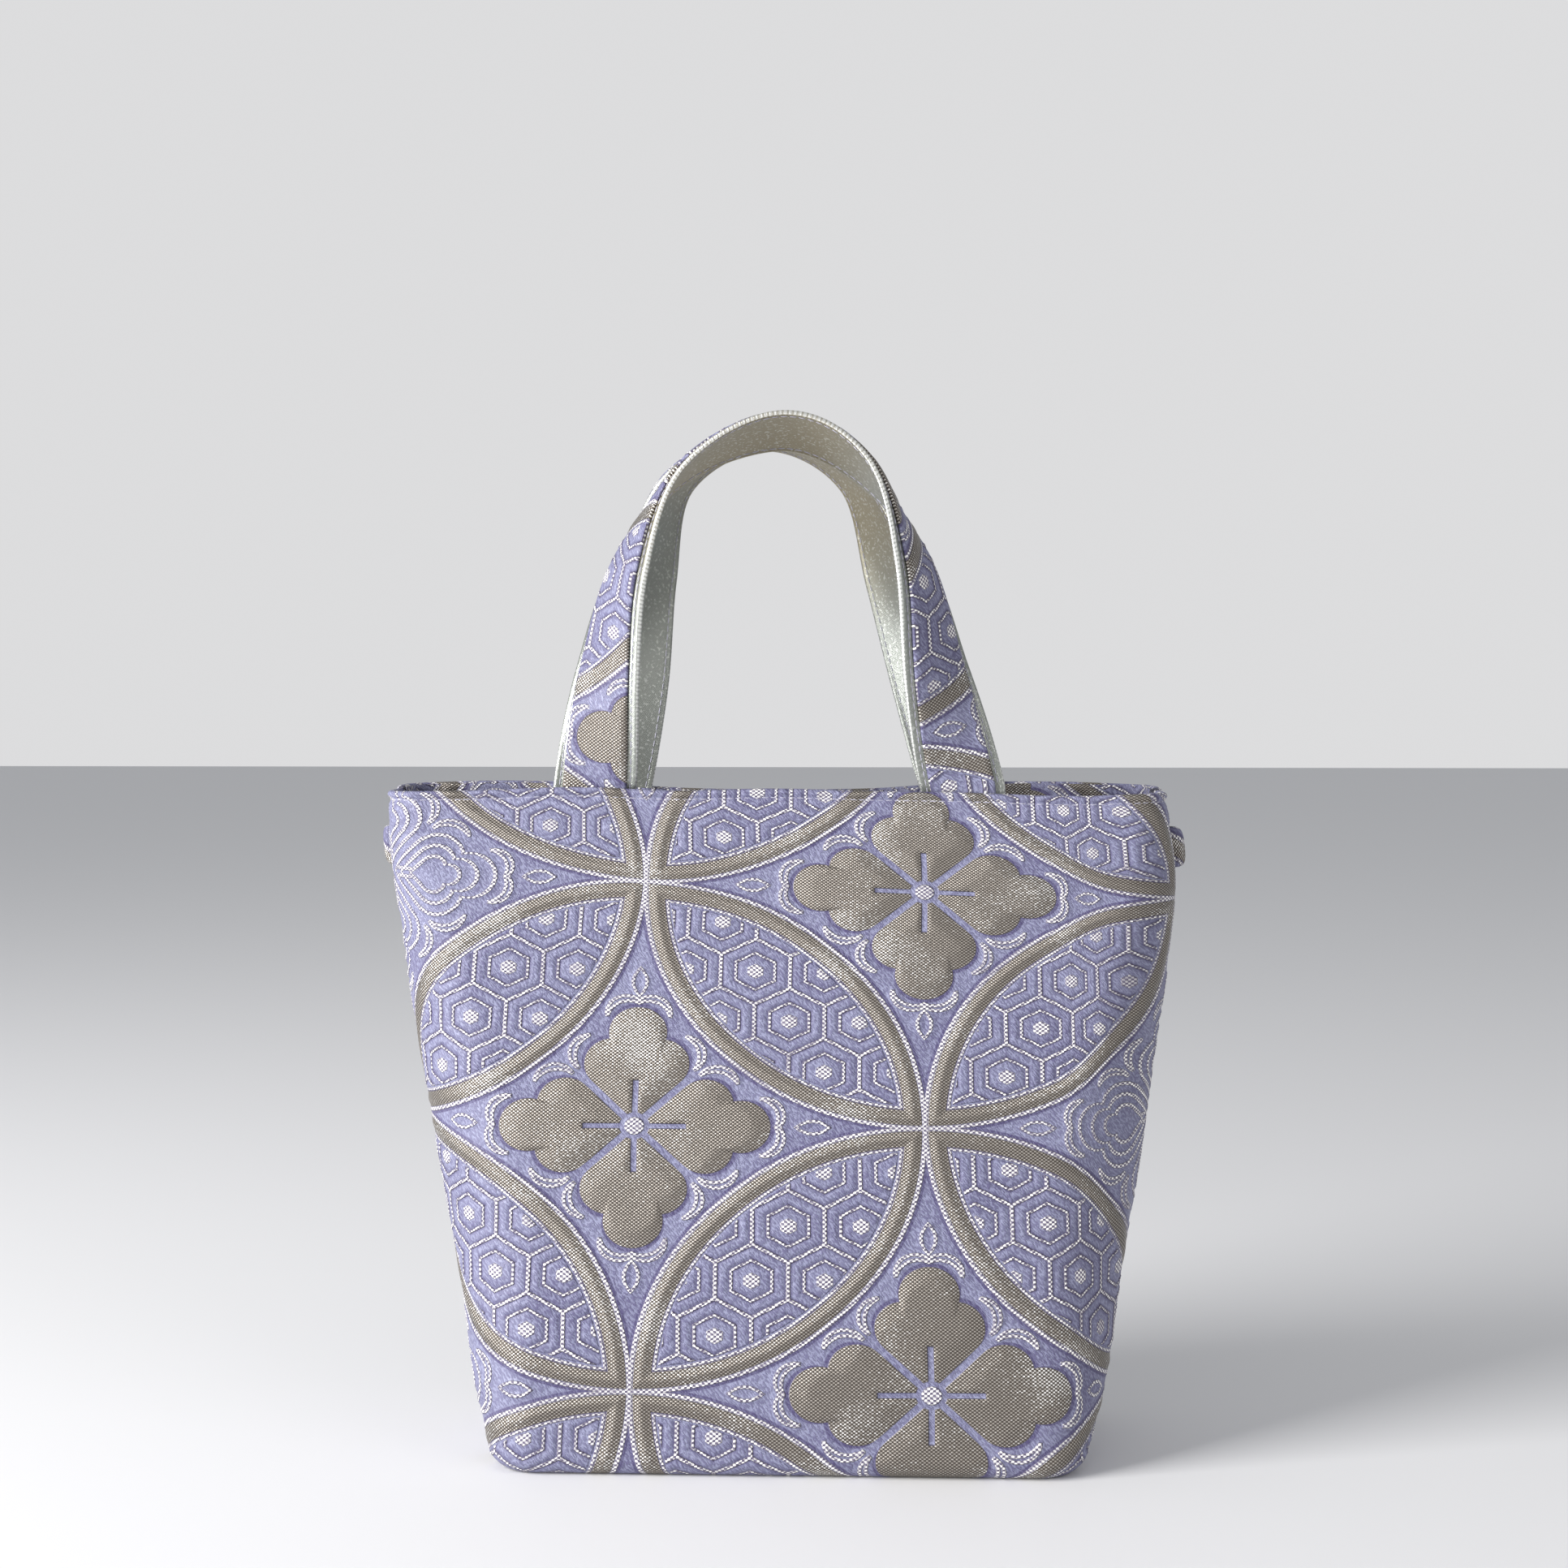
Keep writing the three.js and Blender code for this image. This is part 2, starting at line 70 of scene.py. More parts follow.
# The sizes at nine evenly spaced heights from the base to the rim, and the lean to the right there.
HALF_WIDTHS = [98, 105, 110.3, 115.3, 120.5, 125, 129, 131.5, 130]
HALF_DEPTHS = [46, 45, 42.5, 39.5, 36.5, 33.5, 31, 28.5, 26]
CORNER_RADII = [16, 22, 29, 33, 33, 30, 25, 18, 12]
FRONT_BULGES = [0, 1.5, 3, 4, 4, 3.5, 2.5, 1.2, 0.4]
BODY_LEAN = [2.4, 3.0, 2.8, 2.7, 1.9, 1.5, 0.9, 0.3, -2.2]


def station_curve(values, share):
    """A smooth curve through evenly spaced values: each stretch is a cubic whose slopes are
    half the difference of the values on both sides."""
    padded = np.array([values[0], *values, values[-1]], float)
    place = np.clip(share, 0, 1) * (len(values) - 1)
    left = np.minimum(np.floor(place).astype(int), len(values) - 2)
    t = place - left
    before, start, end, after = (padded[left + step] for step in range(4))
    slope_in = (end - before) / 2
    slope_out = (after - start) / 2
    cubic = 2 * start - 2 * end + slope_in + slope_out
    square = -3 * start + 3 * end - 2 * slope_in - slope_out
    return ((cubic * t + square) * t + slope_in) * t + start


def smooth(share):
    """Rises from 0 to 1 with level ends: 3t squared minus 2t cubed."""
    t = np.clip(share, 0, 1)
    return t * t * (3 - 2 * t)


def body_section(z):
    """Half width, half depth, corner radius and bulge of the wall at a height."""
    sizes = (HALF_WIDTHS, HALF_DEPTHS, CORNER_RADII, FRONT_BULGES)
    return [station_curve(values, z / RIM_HEIGHT) for values in sizes]


def seam_reach(z):
    """Arc length from the front centre to the side seam: two straights and a quarter circle."""
    width, depth, corner, _ = body_section(z)
    return width + depth - 2 * corner + corner * np.pi / 2


def body_point(s, z, stand):
    """Where the wall stands at arc length s from the front centre, moved outwards by stand.
    The section is a rounded rectangle whose long face bulges as a parabola."""
    width, depth, corner, bulge = body_section(z)
    reach = np.abs(s)
    flat = width - corner
    angle = np.clip((reach - flat) / corner, 0, np.pi / 2)
    past = np.maximum(reach - flat - corner * np.pi / 2, 0)
    x = np.minimum(reach, flat) + (corner + stand) * np.sin(angle)
    y = -depth + corner + past - (corner + stand) * np.cos(angle)
    inside = np.minimum(x / width, 1)
    y = y - bulge * (1 - inside ** 2) * np.clip(-y / depth, 0, 1)
    return np.where(s < 0, -x, x), y


def lean(z):
    """The empty bag stands a little askew: its base is moved sideways under the rim."""
    return station_curve(BODY_LEAN, z / RIM_HEIGHT)


# The woven figure
# Rings of metal thread overlap on a lavender ground, with a four-petalled flower in each field
# and tortoiseshell hexagons in each lens. One unit is a ring's radius, and q runs downwards.
RING_RADIUS = 95.5
COS_30 = 0.866
COS_45 = 0.7071
# Distances inside a ring's line: the edges of its band, the middle and the half width of the cord
# on each side of it, where the lens starts, and how wide the band's rounded edge is.
BAND = (0.008, 0.068)
OUTER_CORD = (0.001, 0.0055)
INNER_CORD = (0.078, 0.003)
LENS_START = 0.088
BAND_ROUNDING = 0.030
# The circles that round a petal: distance from the flower's centre, radius, and turn off the
# petal's line. Then the petal's slit, rounded edge and start, the flower's heart, and the rib.
PETAL_TIP = (0.369, 0.103)
PETAL_LOBE = (0.260, 0.0985, np.radians(19.5))
PETAL_SLIT = 0.011
PETAL_ROUNDING = 0.075
PETAL_START = 0.050
HEART = 0.032
RIB_HALF_WIDTH = 0.008
RIB_END = (0.175, 0.182)
# The crescents round a petal: their arc's centre along and off the petal's line, its radius, and
# the middle and the half of its sweep.
TIP_CRESCENT = (0.435, 0.040, 0.071, 1.22, 1.30)
LOBE_CRESCENT = (0.280, 0.150, 0.077, 0.24, 1.13)
CRESCENT_BELLY = 0.011
CRESCENT_LINE = 0.0045
# The leaf past each petal's tip: its place, how much farther out it is on the level petals, and
# its half length and half width.
LEAF_PLACE = 0.575
LEAF_FARTHER = 0.04
LEAF_SIZE = (0.064, 0.030)
# The outlined petal: its eye, its lobe as seen from the eye, its point, and the first and the
# pitch of its nested outlines, as shares of its size.
EYE = 0.215
EYE_LOBE = (0.0920, 0.0985, 1.234)
EYE_POINT = 0.0156
NESTED = (0.42, 0.255)
NESTED_LINE = 0.006
# The hexagons: their pitch and row height, and the middle of a lens's grid with its shift in every
# second lens. Then, as shares of a hexagon: its outlines, their half width, its dot and its puff.
HEX_PITCH = 0.2455
HEX_ROW = 0.2055
HEX_CENTRE = (0.529, 0.573)
HEX_SHIFT = 0.194
HEX_OUTLINES = (0.985, 0.56)
HEX_LINE = 0.026
HEX_DOT = 0.21
HEX_PUFF = (0.04, 0.17)


class Wire:
    """A socket in a material. Python's operators add Math nodes, and node() adds any other."""

    __array_ufunc__ = None

    def __init__(self, tree, socket=None):
        self.tree = tree
        self.socket = socket

    def node(self, kind, settings=None, inputs=None, output=0):
        """Adds a node: its settings come first, then the values or links of its sockets."""
        new = self.tree.nodes.new("ShaderNode" + kind)
        for name, value in (settings or {}).items():
            setattr(new, name, value)
        for name, value in (inputs or {}).items():
            if isinstance(value, Wire):
                self.tree.links.new(value.socket, new.inputs[name])
            else:
                new.inputs[name].default_value = value
        return Wire(self.tree, new.outputs[output] if new.outputs else None)

    def beside(self, output):
        """Another output of the node that this one comes from."""
        return Wire(self.tree, self.socket.node.outputs[output])

    def math(self, operation, *values):
        return self.node("Math", {"operation": operation}, dict(enumerate(values)))

    def __add__(self, other):
        return self.math("ADD", self, other)

    __radd__ = __add__

    def __sub__(self, other):
        return self.math("SUBTRACT", self, other)

    def __rsub__(self, other):
        return self.math("SUBTRACT", other, self)

    def __mul__(self, other):
        return self.math("MULTIPLY", self, other)

    __rmul__ = __mul__

    def __truediv__(self, other):
        return self.math("DIVIDE", self, other)

    def __rtruediv__(self, other):
        return self.math("DIVIDE", other, self)

    def __abs__(self):
        return self.math("ABSOLUTE", self)


def either(numpy_way, operation):
    """A function that works on arrays through numpy, and on shader sockets through a Math node."""
    def work(*values):
        wires = [value for value in values if isinstance(value, Wire)]
        return wires[0].math(operation, *values) if wires else numpy_way(*values)
    return work


low = either(np.minimum, "MINIMUM")
high = either(np.maximum, "MAXIMUM")
root = either(np.sqrt, "SQRT")
floor = either(np.floor, "FLOOR")
sine = either(np.sin, "SINE")
cosine = either(np.cos, "COSINE")
arctan2 = either(np.arctan2, "ARCTAN2")
above = either(lambda a, b: np.where(a > b, 1.0, 0.0), "GREATER_THAN")


def length(x, y):
    """Distance from nought to (x, y)."""
    return root(x * x + y * y)


def rise(value, start, end):
    """Goes smoothly from 0 at start to 1 at end."""
    if isinstance(value, Wire):
        limits = {"Value": value, "From Min": start, "From Max": end}
        return value.node("MapRange", {"interpolation_type": "SMOOTHSTEP"}, limits)
    return smooth((value - start) / (end - start))


def line(distance, half_width, soft):
    """A line where a distance is nought: 1 on it, fading to 0 over the soft edge."""
    return 1 - rise(abs(distance), half_width, half_width + soft)


def off_centre(value, pitch):
    """Distance from the nearest multiple of the pitch."""
    turns = value / pitch + 0.5
    return abs(turns - floor(turns) - 0.5) * pitch


def hexagons(p, q):
    """Growing from 0 at each hexagon's centre to 1 on its sides, the nearer of two staggered grids.
    Each lens has its own grid, which stands higher in every second lens."""
    column, row = floor(p), floor(q)
    turns = (column + row) / 2
    second = above(turns - floor(turns), 0.25)
    centre_x = p - column - HEX_CENTRE[0]
    centre_y = q - row - HEX_CENTRE[1] + second * HEX_SHIFT
    half = HEX_PITCH / 2
    squeeze = COS_30 * HEX_PITCH / HEX_ROW
    gauges = []
    for shift in (0, 1):
        x = off_centre(centre_x - shift * half, HEX_PITCH)
        y = off_centre(centre_y - shift * HEX_ROW, 2 * HEX_ROW) * squeeze
        gauges.append(high(x, x * 0.5 + y * COS_30) / half)
    return low(*gauges)


def lobe_reach(angle, centre, radius, turn=0.0):
    """Distance to the far side of a circle, seen at an angle off the petal's line."""
    across = sine(angle - turn) * centre
    room = radius ** 2 - across * across
    return (cosine(angle - turn) * centre + root(high(room, 0.0))) * above(room, 0.0)


def crescent(along, off, shape, soft):
    """A crescent along an arc: two lines that part by a parabola and meet at its ends."""
    centre, side, radius, middle, spread = shape
    distance = length(along - centre, off - side) - radius
    sweep = (arctan2(along - centre, off - side) - middle) / spread
    belly = (1 - sweep * sweep) * CRESCENT_BELLY
    on_sweep = 1 - rise(abs(sweep), 0.95, 1.02)
    return line(abs(distance) - belly, CRESCENT_LINE, soft) * on_sweep


def petal_lines(along, off, soft):
    """The outlined petal: nested outlines round an eye inside it, and a rib on either side of its
    line. Its outline is the farthest of a tip circle, a lobe circle and the wedge towards the
    flower's centre."""
    x = along - EYE
    angle = arctan2(off, x)
    wedge = (EYE - EYE_POINT) / high(sine(angle) - cosine(angle), 0.2) * above(angle, 1.78)
    tip = lobe_reach(angle, PETAL_TIP[0] - EYE, PETAL_TIP[1])
    outline = high(high(tip, lobe_reach(angle, *EYE_LOBE)), wedge)
    gauge = length(x, off) / outline
    first, pitch = NESTED
    nested = line(off_centre(gauge - first, pitch) * outline, NESTED_LINE, soft)
    nested = nested * rise(gauge, 0.33, 0.36) * (1 - rise(gauge, 1.0, 1.03))
    ribs = line(off - 0.017, NESTED_LINE, soft)
    ribs = ribs * (1 - rise(along, 0.13, 0.15)) * rise(along, 0.05, 0.06)
    return high(nested, ribs)


def figure(p, q, soft=0.004):
    """The figure's parts at lattice place (p, q), each from 0 to 1 with soft edges. Folding the
    lattice into one field by floor and abs draws every ring and flower at once. Every second
    flower of a row is outlined, and the others are filled."""
    u = floor((p + q) / 2) * 2 + 1
    v = floor((p - q) / 2) * 2 + 1
    column = (u + v) / 2
    x = abs(p - column)
    y = abs(q - (u - v) / 2)
    inside = low(1 - length(1 - x, 1 - y), 1 - length(x, y))
    band = rise(inside, BAND[0], BAND[0] + soft) * (1 - rise(inside, BAND[1], BAND[1] + soft))
    rounding = rise(low(inside - BAND[0], BAND[1] - inside), 0.0, BAND_ROUNDING)
    outer_cord = line(inside - OUTER_CORD[0], OUTER_CORD[1], soft)
    edge = high(outer_cord, line(inside - INNER_CORD[0], INNER_CORD[1], soft))
    lens = rise(inside, LENS_START, LENS_START + soft)
    gauge = hexagons(p, q)
    hex_soft = soft / (HEX_PITCH / 2)
    from_line = low(abs(gauge - HEX_OUTLINES[0]), abs(gauge - HEX_OUTLINES[1]))
    dot = 1 - rise(gauge, HEX_DOT, HEX_DOT + hex_soft)
    shell = high(1 - rise(from_line, HEX_LINE, HEX_LINE + hex_soft), dot) * lens
    puff = rise(from_line, *HEX_PUFF) * lens
    along = high(x, y)
    off = low(x, y)
    middle = length(x, y)
    angle = arctan2(off, along)
    reach = high(lobe_reach(angle, *PETAL_TIP), lobe_reach(angle, *PETAL_LOBE))
    slit = (along - off) * COS_45
    rib = (1 - rise(off, RIB_HALF_WIDTH, RIB_HALF_WIDTH + soft)) * (1 - rise(along, *RIB_END))
    heart = 1 - rise(middle, HEART, HEART + soft)
    bare = 1 - rise(middle, PETAL_START, PETAL_START + soft)
    clear = rise(slit, PETAL_SLIT, PETAL_SLIT + soft) * (1 - high(rib, bare))
    pad = rise(low(reach - middle, slit - PETAL_SLIT), 0.0, PETAL_ROUNDING)
    turns = column / 4 + 0.001
    outlined = above(turns - floor(turns), 0.4)
    leaf_length, leaf_width = LEAF_SIZE
    leaf_x = (along - LEAF_PLACE - above(x, y) * LEAF_FARTHER) / leaf_length
    leaf = line(off / leaf_width + leaf_x * leaf_x - 0.82, 0.14, soft / leaf_width)
    tip_crescent = crescent(along, off, TIP_CRESCENT, soft)
    crescents = high(tip_crescent, crescent(along, off, LOBE_CRESCENT, soft))
    lines = high(high(crescents, leaf), petal_lines(along, off, soft) * outlined)
    in_field = 1 - rise(inside, -0.012, -0.008)
    filled = in_field * (1 - outlined)
    # Painted shade: a dark ring round each filled petal and dark lines on both sides of each band,
    # where the raised figure would shade the ground.
    petal_edge_shade = line(middle - reach - 0.006, 0.005, 0.008) * rise(slit, 0.0, 0.02) * filled
    band_edge_shade = line(low(abs(inside + 0.012), abs(inside - 0.075)), 0.004, 0.007)
    return {
        "band": band,
        "rounding": rounding,
        "edge": edge,
        "shell": shell,
        "puff": puff,
        # Painted shade: the lens darkens near its hexagon lines, together with the rings and lines
        # above.
        "groove_shade": high(high(lens - puff, petal_edge_shade), band_edge_shade),
        "petals": (1 - rise(middle - reach, -soft, 0.0)) * clear * filled,
        "pad": pad,
        "lines": high(lines * in_field, heart * filled),
    }


def relief(parts):
    """Height of the figure over the ground, in mm: the bands and petals are padded, and the rest
    is corded."""
    band = parts["band"] * (parts["rounding"] * 0.35 + 0.2)
    petals = parts["petals"] * (parts["pad"] * 0.45 + 0.2)
    shell = high(parts["shell"] * 0.70, parts["puff"] * 0.45)
    corded = parts["edge"] * 0.3 + shell + parts["lines"] * 0.45
    return high(high(band, petals), corded)


# Outer panels
# The front and the back are the same piece of brocade, turned round. Each is rolled over at the
# rim, stitched below it, and runs down the wall and under the base to the middle seam.
SIDES = (("front", False), ("back", True))
RIM_ROLL_RADIUS = 1.3
RIM_ROLL_STAND = 0.40
GROOVE_BELOW_RIM = 3.0
GROOVE_DEPTH = 0.75
GROOVE_HALF_WIDTH = 0.85
SEAM_TUCK = 0.9
SEAM_TUCK_REACH = 2.2
SEAM_CALM_REACH = 6.0
PUCKER = 0.16
CLOTH_COLUMNS = 280
ROLL_ROWS = 9
WALL_ROWS = 266
FILLET_ROWS = 6
FLOOR_ROWS = 13
INNER_START = 3.0
INNER_WALL_ROWS = 22
INNER_BASE_ROWS = 3
# How soft the figure's edges are where they shape a mesh.
MESH_SOFT = 0.010
# How far the mouth is lifted, at nine evenly spaced places from end to end, and how far down.
FRONT_WAVER = [-0.5, 0, 1.1, 0, 0.7, -0.1, -0.6, -1.6, -0.7]
BACK_WAVER = [0.2, 1.2, 0.9, -1.2, -1.7, -1.2, 0.6, 1.3, 0.5]
WAVER_DEPTH = 60.0
# The figure on the wall: the height of row 0 and the two terms of the drop from it, then one
# unit's width and the place of column 0, each at row 0 with its change from row to row.
FIRST_ROW = 192.15
ROW_DROP = (73.3, 4.27)
UNIT_WIDTH = (91.8, 3.35)
COLUMN_PLACE = (-44.5, -5.6, 1.1)
# The cloth's map spans this many units from this lattice place, and the faces on the inside take
# their places farther along it.
CLOTH_SPAN = 10.0
CLOTH_START = (-2.4, -1.5)
INSIDE_ALONG = 4.6


def cloth_place(s, z):
    """Lattice place of a point of the front. Row q lies drop * q + growth * q * q under the first,
    so the figure is a little larger lower down. Its rows rise a little to the right near the rim,
    and it is closer set before the right corner and wider round it."""
    drop, growth = ROW_DROP
    q = (np.sqrt(drop ** 2 + 4 * growth * (FIRST_ROW - z)) - drop) / (2 * growth)
    width = UNIT_WIDTH[0] + UNIT_WIDTH[1] * q
    centre = COLUMN_PLACE[0] + COLUMN_PLACE[1] * q + COLUMN_PLACE[2] * q * q
    p = (s - centre) / width
    q = q + (0.025 - 0.040 * np.clip(p, -1, 2)) * np.clip(1 - q, 0, 1.4)
    closer = 0.058 * smooth((p - 1.45) / 0.23)
    wider = 0.075 * smooth((p - 1.64) / 0.40)
    return p + closer - wider, q


def ripples(s, z):
    """Slow unevenness of hand-sewn cloth, in mm: products of long sine waves, more at the sides."""
    slow = np.sin(s / 31 + z / 47) * np.sin(z / 39 - s / 90 + 1.0)
    quick = np.sin(s / 13 - z / 29 + 2.0) * np.sin(z / 17 + s / 41)
    side = smooth((np.abs(s) - 60) / 60)
    return 0.6 * slow + (0.22 + 0.25 * side) * quick


def grid_faces(rows, columns, first=0, around=False):
    """Quads of a grid whose rows run down and whose columns run right, seen from outside."""
    index = first + np.arange(rows * columns).reshape(rows, columns)
    if around:
        index = np.hstack([index, index[:, :1]])
    corners = index[:-1, :-1], index[1:, :-1], index[1:, 1:], index[:-1, 1:]
    return np.stack([corner.ravel() for corner in corners], 1)


def joined_edges(a, b):
    """Quads between two rows of vertices of equal length."""
    return np.stack([a[:-1], a[1:], b[1:], b[:-1]], 1)


def shell_faces(rows, columns, inner_rows, match):
    """Faces of a closed skin: an outer grid, an inner grid of fewer rows, and the four rims.
    Each outer row is tied at the sides to the inner row that match gives."""
    outer = np.arange(rows * columns).reshape(rows, columns)
    inner = rows * columns + np.arange(inner_rows * columns).reshape(inner_rows, columns)
    quads = [grid_faces(rows, columns), grid_faces(inner_rows, columns, rows * columns)[:, ::-1],
             joined_edges(outer[0], inner[0]), joined_edges(inner[-1], outer[-1])]
    triangles = []
    for column, order in ((0, slice(None)), (columns - 1, slice(None, None, -1))):
        edge, tied = outer[:, column], inner[match, column]
        steps = np.stack([edge[:-1], tied[:-1], edge[1:]], 1)
        fills = np.stack([tied[:-1], tied[1:], edge[1:]], 1)[np.diff(match) > 0]
        triangles += [steps[:, order], fills[:, order]]
    return np.concatenate(quads).tolist() + np.concatenate(triangles).tolist()


def add_piece(name, points, faces, place=None):
    """A smooth-shaded object at the origin from points in mm, with its cloth map if it has one."""
    mesh = bpy.data.meshes.new(name)
    mesh.from_pydata((np.asarray(points) * MM).tolist(), [], faces)
    mesh.shade_smooth()
    if place is not None:
        corners = np.empty(len(mesh.loops), int)
        mesh.loops.foreach_get("vertex_index", corners)
        spots = (np.asarray(place) - CLOTH_START) / CLOTH_SPAN
        mesh.uv_layers.new(name="cloth").data.foreach_set("uv", spots[corners].ravel())
    piece = bpy.data.objects.new(name, mesh)
    bpy.context.scene.collection.objects.link(piece)
    return piece


def dress(piece, material, slot, *nodes):
    """Gives a piece its material and ties it to the solids that it stands for."""
    piece.data.materials.append(material)
    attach(piece, "root")
    if nodes:
        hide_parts(*nodes)


def rim_swell(below):
    """The rolled edge stands proud, and the stitch line under it is pulled in as a bell curve."""
    roll = RIM_ROLL_STAND * (1 - smooth(below / RIM_ROLL_RADIUS - 1))
    groove = GROOVE_DEPTH * np.exp(-((below - GROOVE_BELOW_RIM) / GROOVE_HALF_WIDTH) ** 2)
    return roll - groove


def rim_waver(x, z, back):
    """How far hand sewing lifts or drops the mouth, fading out smoothly down the wall."""
    waver = station_curve(BACK_WAVER if back else FRONT_WAVER, (x / HALF_WIDTHS[-1] + 1) / 2)
    return waver * smooth((z - RIM_HEIGHT) / WAVER_DEPTH + 1)


def panel_grids():
    """The rows of a panel, outside and inside: height of the section, height, stand, share of the
    base that is crossed, and height along the cloth. The roll is half a circle and the fillet a
    quarter, both even in angle."""
    angle = np.linspace(np.pi, 0, ROLL_ROWS)
    roll_z = RIM_HEIGHT - RIM_ROLL_RADIUS * (1 - np.sin(angle))
    none = np.zeros(ROLL_ROWS)
    roll_stand = RIM_ROLL_STAND + RIM_ROLL_RADIUS * (np.cos(angle) - 1)
    roll = [roll_z, roll_z, roll_stand, none, RIM_HEIGHT + RIM_ROLL_RADIUS * (angle - 1)]
    wall_z = np.linspace(RIM_HEIGHT - RIM_ROLL_RADIUS, BASE_FILLET, WALL_ROWS)[1:]
    wall = [wall_z, wall_z, rim_swell(RIM_HEIGHT - wall_z), 0 * wall_z, wall_z]

    def base(radius, fillet_rows, floor_rows):
        bend = np.linspace(0, np.pi / 2, fillet_rows + 1)[1:]
        nominal = BASE_FILLET * (1 - np.sin(bend))
        corner = [nominal, BASE_FILLET - radius * np.sin(bend), radius * np.cos(bend) - BASE_FILLET,
                  0 * bend, BASE_FILLET * (1 - bend)]
        share = np.linspace(0, 1, floor_rows + 1)[1:]
        level = 0 * share
        travel = BASE_FILLET * (1 - np.pi / 2) - share * (HALF_DEPTHS[0] - BASE_FILLET)
        under = [level, level + BASE_FILLET - radius, level - BASE_FILLET, share, travel]
        return corner, under

    inner_z = np.linspace(RIM_HEIGHT - INNER_START, BASE_FILLET, INNER_WALL_ROWS)
    inner_wall = [inner_z, inner_z, 0 * inner_z - CLOTH, 0 * inner_z, inner_z]
    outer = np.hstack([roll, wall, *base(BASE_FILLET, FILLET_ROWS, FLOOR_ROWS)])
    inner = np.hstack([inner_wall, *base(BASE_FILLET - CLOTH, INNER_BASE_ROWS, INNER_BASE_ROWS)])
    return outer, inner


def panel_layer(rows, decorate, back):
    """Points and lattice places of one layer of a panel. The outer one is decorated: the figure
    and the ripples stand out, the cloth puckers at the rim's stitches and tucks in at the seam."""
    section_z, z, stand, share, travel = rows[:, :, None]
    fraction = np.linspace(-1, 1, CLOTH_COLUMNS + 1)[None, :]
    seam = seam_reach(section_z) - SEAM_GAP / 2
    s = fraction * seam
    p, q = cloth_place(s, travel + 0 * s)
    if decorate:
        below = RIM_HEIGHT - z
        on_wall = smooth((below - 4.5) / 3) * smooth((z - 1.0) / 5)
        from_seam = seam - np.abs(s)
        tuck = SEAM_TUCK * (1 - smooth(from_seam / SEAM_TUCK_REACH))
        calm = smooth(from_seam / SEAM_CALM_REACH)
        stand = stand + on_wall * calm * (relief(figure(p, q, MESH_SOFT)) + ripples(s, z))
        pucker = np.sin(s / 1.9 + 2 * np.sin(s / 23)) * (1 - smooth((below - 2) / 3))
        stand = stand - tuck * (share <= 0) + PUCKER * pucker * calm
    x, y = body_point(s, section_z, stand)
    y = y + (-SEAM_GAP / 2 - y) * share
    z = z + rim_waver(x, z, back)
    return np.stack([x, y, z], -1).reshape(-1, 3), np.stack([p, q], -1).reshape(-1, 2)


def turned(points, back):
    """Turns a front piece round for the back of the bag."""
    return points * (-1, -1, 1) if back else points


def leaned(points, back):
    """Turns a piece of the body round for the back, then lets it lean with the body."""
    out = turned(points, back)
    return out + np.outer(lean(out[:, 2]), (1, 0, 0))


def panel(name, back):
    """A closed skin from both layers, each outer row tied to the inner one that is nearest to it
    along the cloth."""
    outer_rows, inner_rows = panel_grids()
    outer, outer_place = panel_layer(outer_rows, True, back)
    inner, inner_place = panel_layer(inner_rows, False, back)
    outer_count, inner_count = outer_rows.shape[1], inner_rows.shape[1]
    match = np.interp(-outer_rows[-1], -inner_rows[-1], np.arange(inner_count)).round().astype(int)
    match[0], match[-1] = 0, inner_count - 1
    faces = shell_faces(outer_count, CLOTH_COLUMNS + 1, inner_count, match)
    place = np.vstack([outer_place, inner_place + (INSIDE_ALONG, 0)])
    return add_piece(name, leaned(np.vstack([outer, inner]), back), faces, place)


def srgb(red, green, blue):
    """A colour given on a 0 to 255 screen scale, as linear light."""
    share = np.array([red, green, blue]) / 255
    linear = np.where(share <= 0.04045, share / 12.92, ((share + 0.055) / 1.055) ** 2.4)
    return (*linear.tolist(), 1.0)


def new_material(name):
    material = bpy.data.materials.new(name)
    material.use_nodes = True
    material.node_tree.nodes.clear()
    return material, Wire(material.node_tree)


def mixed(share, first, second):
    """A colour between two colours."""
    return share.node("Mix", {"data_type": "RGBA"}, {0: share, 6: first, 7: second}, output=2)


def noise(place, scale, detail=2.0):
    """Cloudy unevenness, from 0 to 1."""
    return place.node("TexNoise", None, {"Vector": place, "Scale": scale, "Detail": detail})


def bumped(height, strength, depth):
    """The direction out of a surface with a fine relief of so many mm."""
    inputs = {"Strength": strength, "Distance": MM * depth, "Height": height}
    return height.node("Bump", None, inputs)


def finish_material(wire, surface):
    shader = wire.node("BsdfPrincipled", None, surface)
    wire.node("OutputMaterial", None, {"Surface": shader})


GROUND = srgb(138, 140, 168)
# The ground's darker colour, for the dark of its strokes and for painted shade beside the raised
# figure.
GROUND_DARK_AND_SHADE = srgb(72, 65, 104)
THREAD = srgb(84, 77, 71)
THREAD_LIGHT = srgb(172, 166, 158)
THREAD_SHADE = srgb(100, 93, 116)
# Near-white thread, used for painted glints and for the cords' beads, which are partly painted
# highlight.
THREAD_GLINT_WHITE = srgb(252, 251, 248)
# Waves of the thread's dots and of the cords' beads in one unit of the figure.
DOTS_ACROSS = 67.0
DOTS_DOWN = 77.0
BEADS_ACROSS = 51
BEADS_DOWN = 58


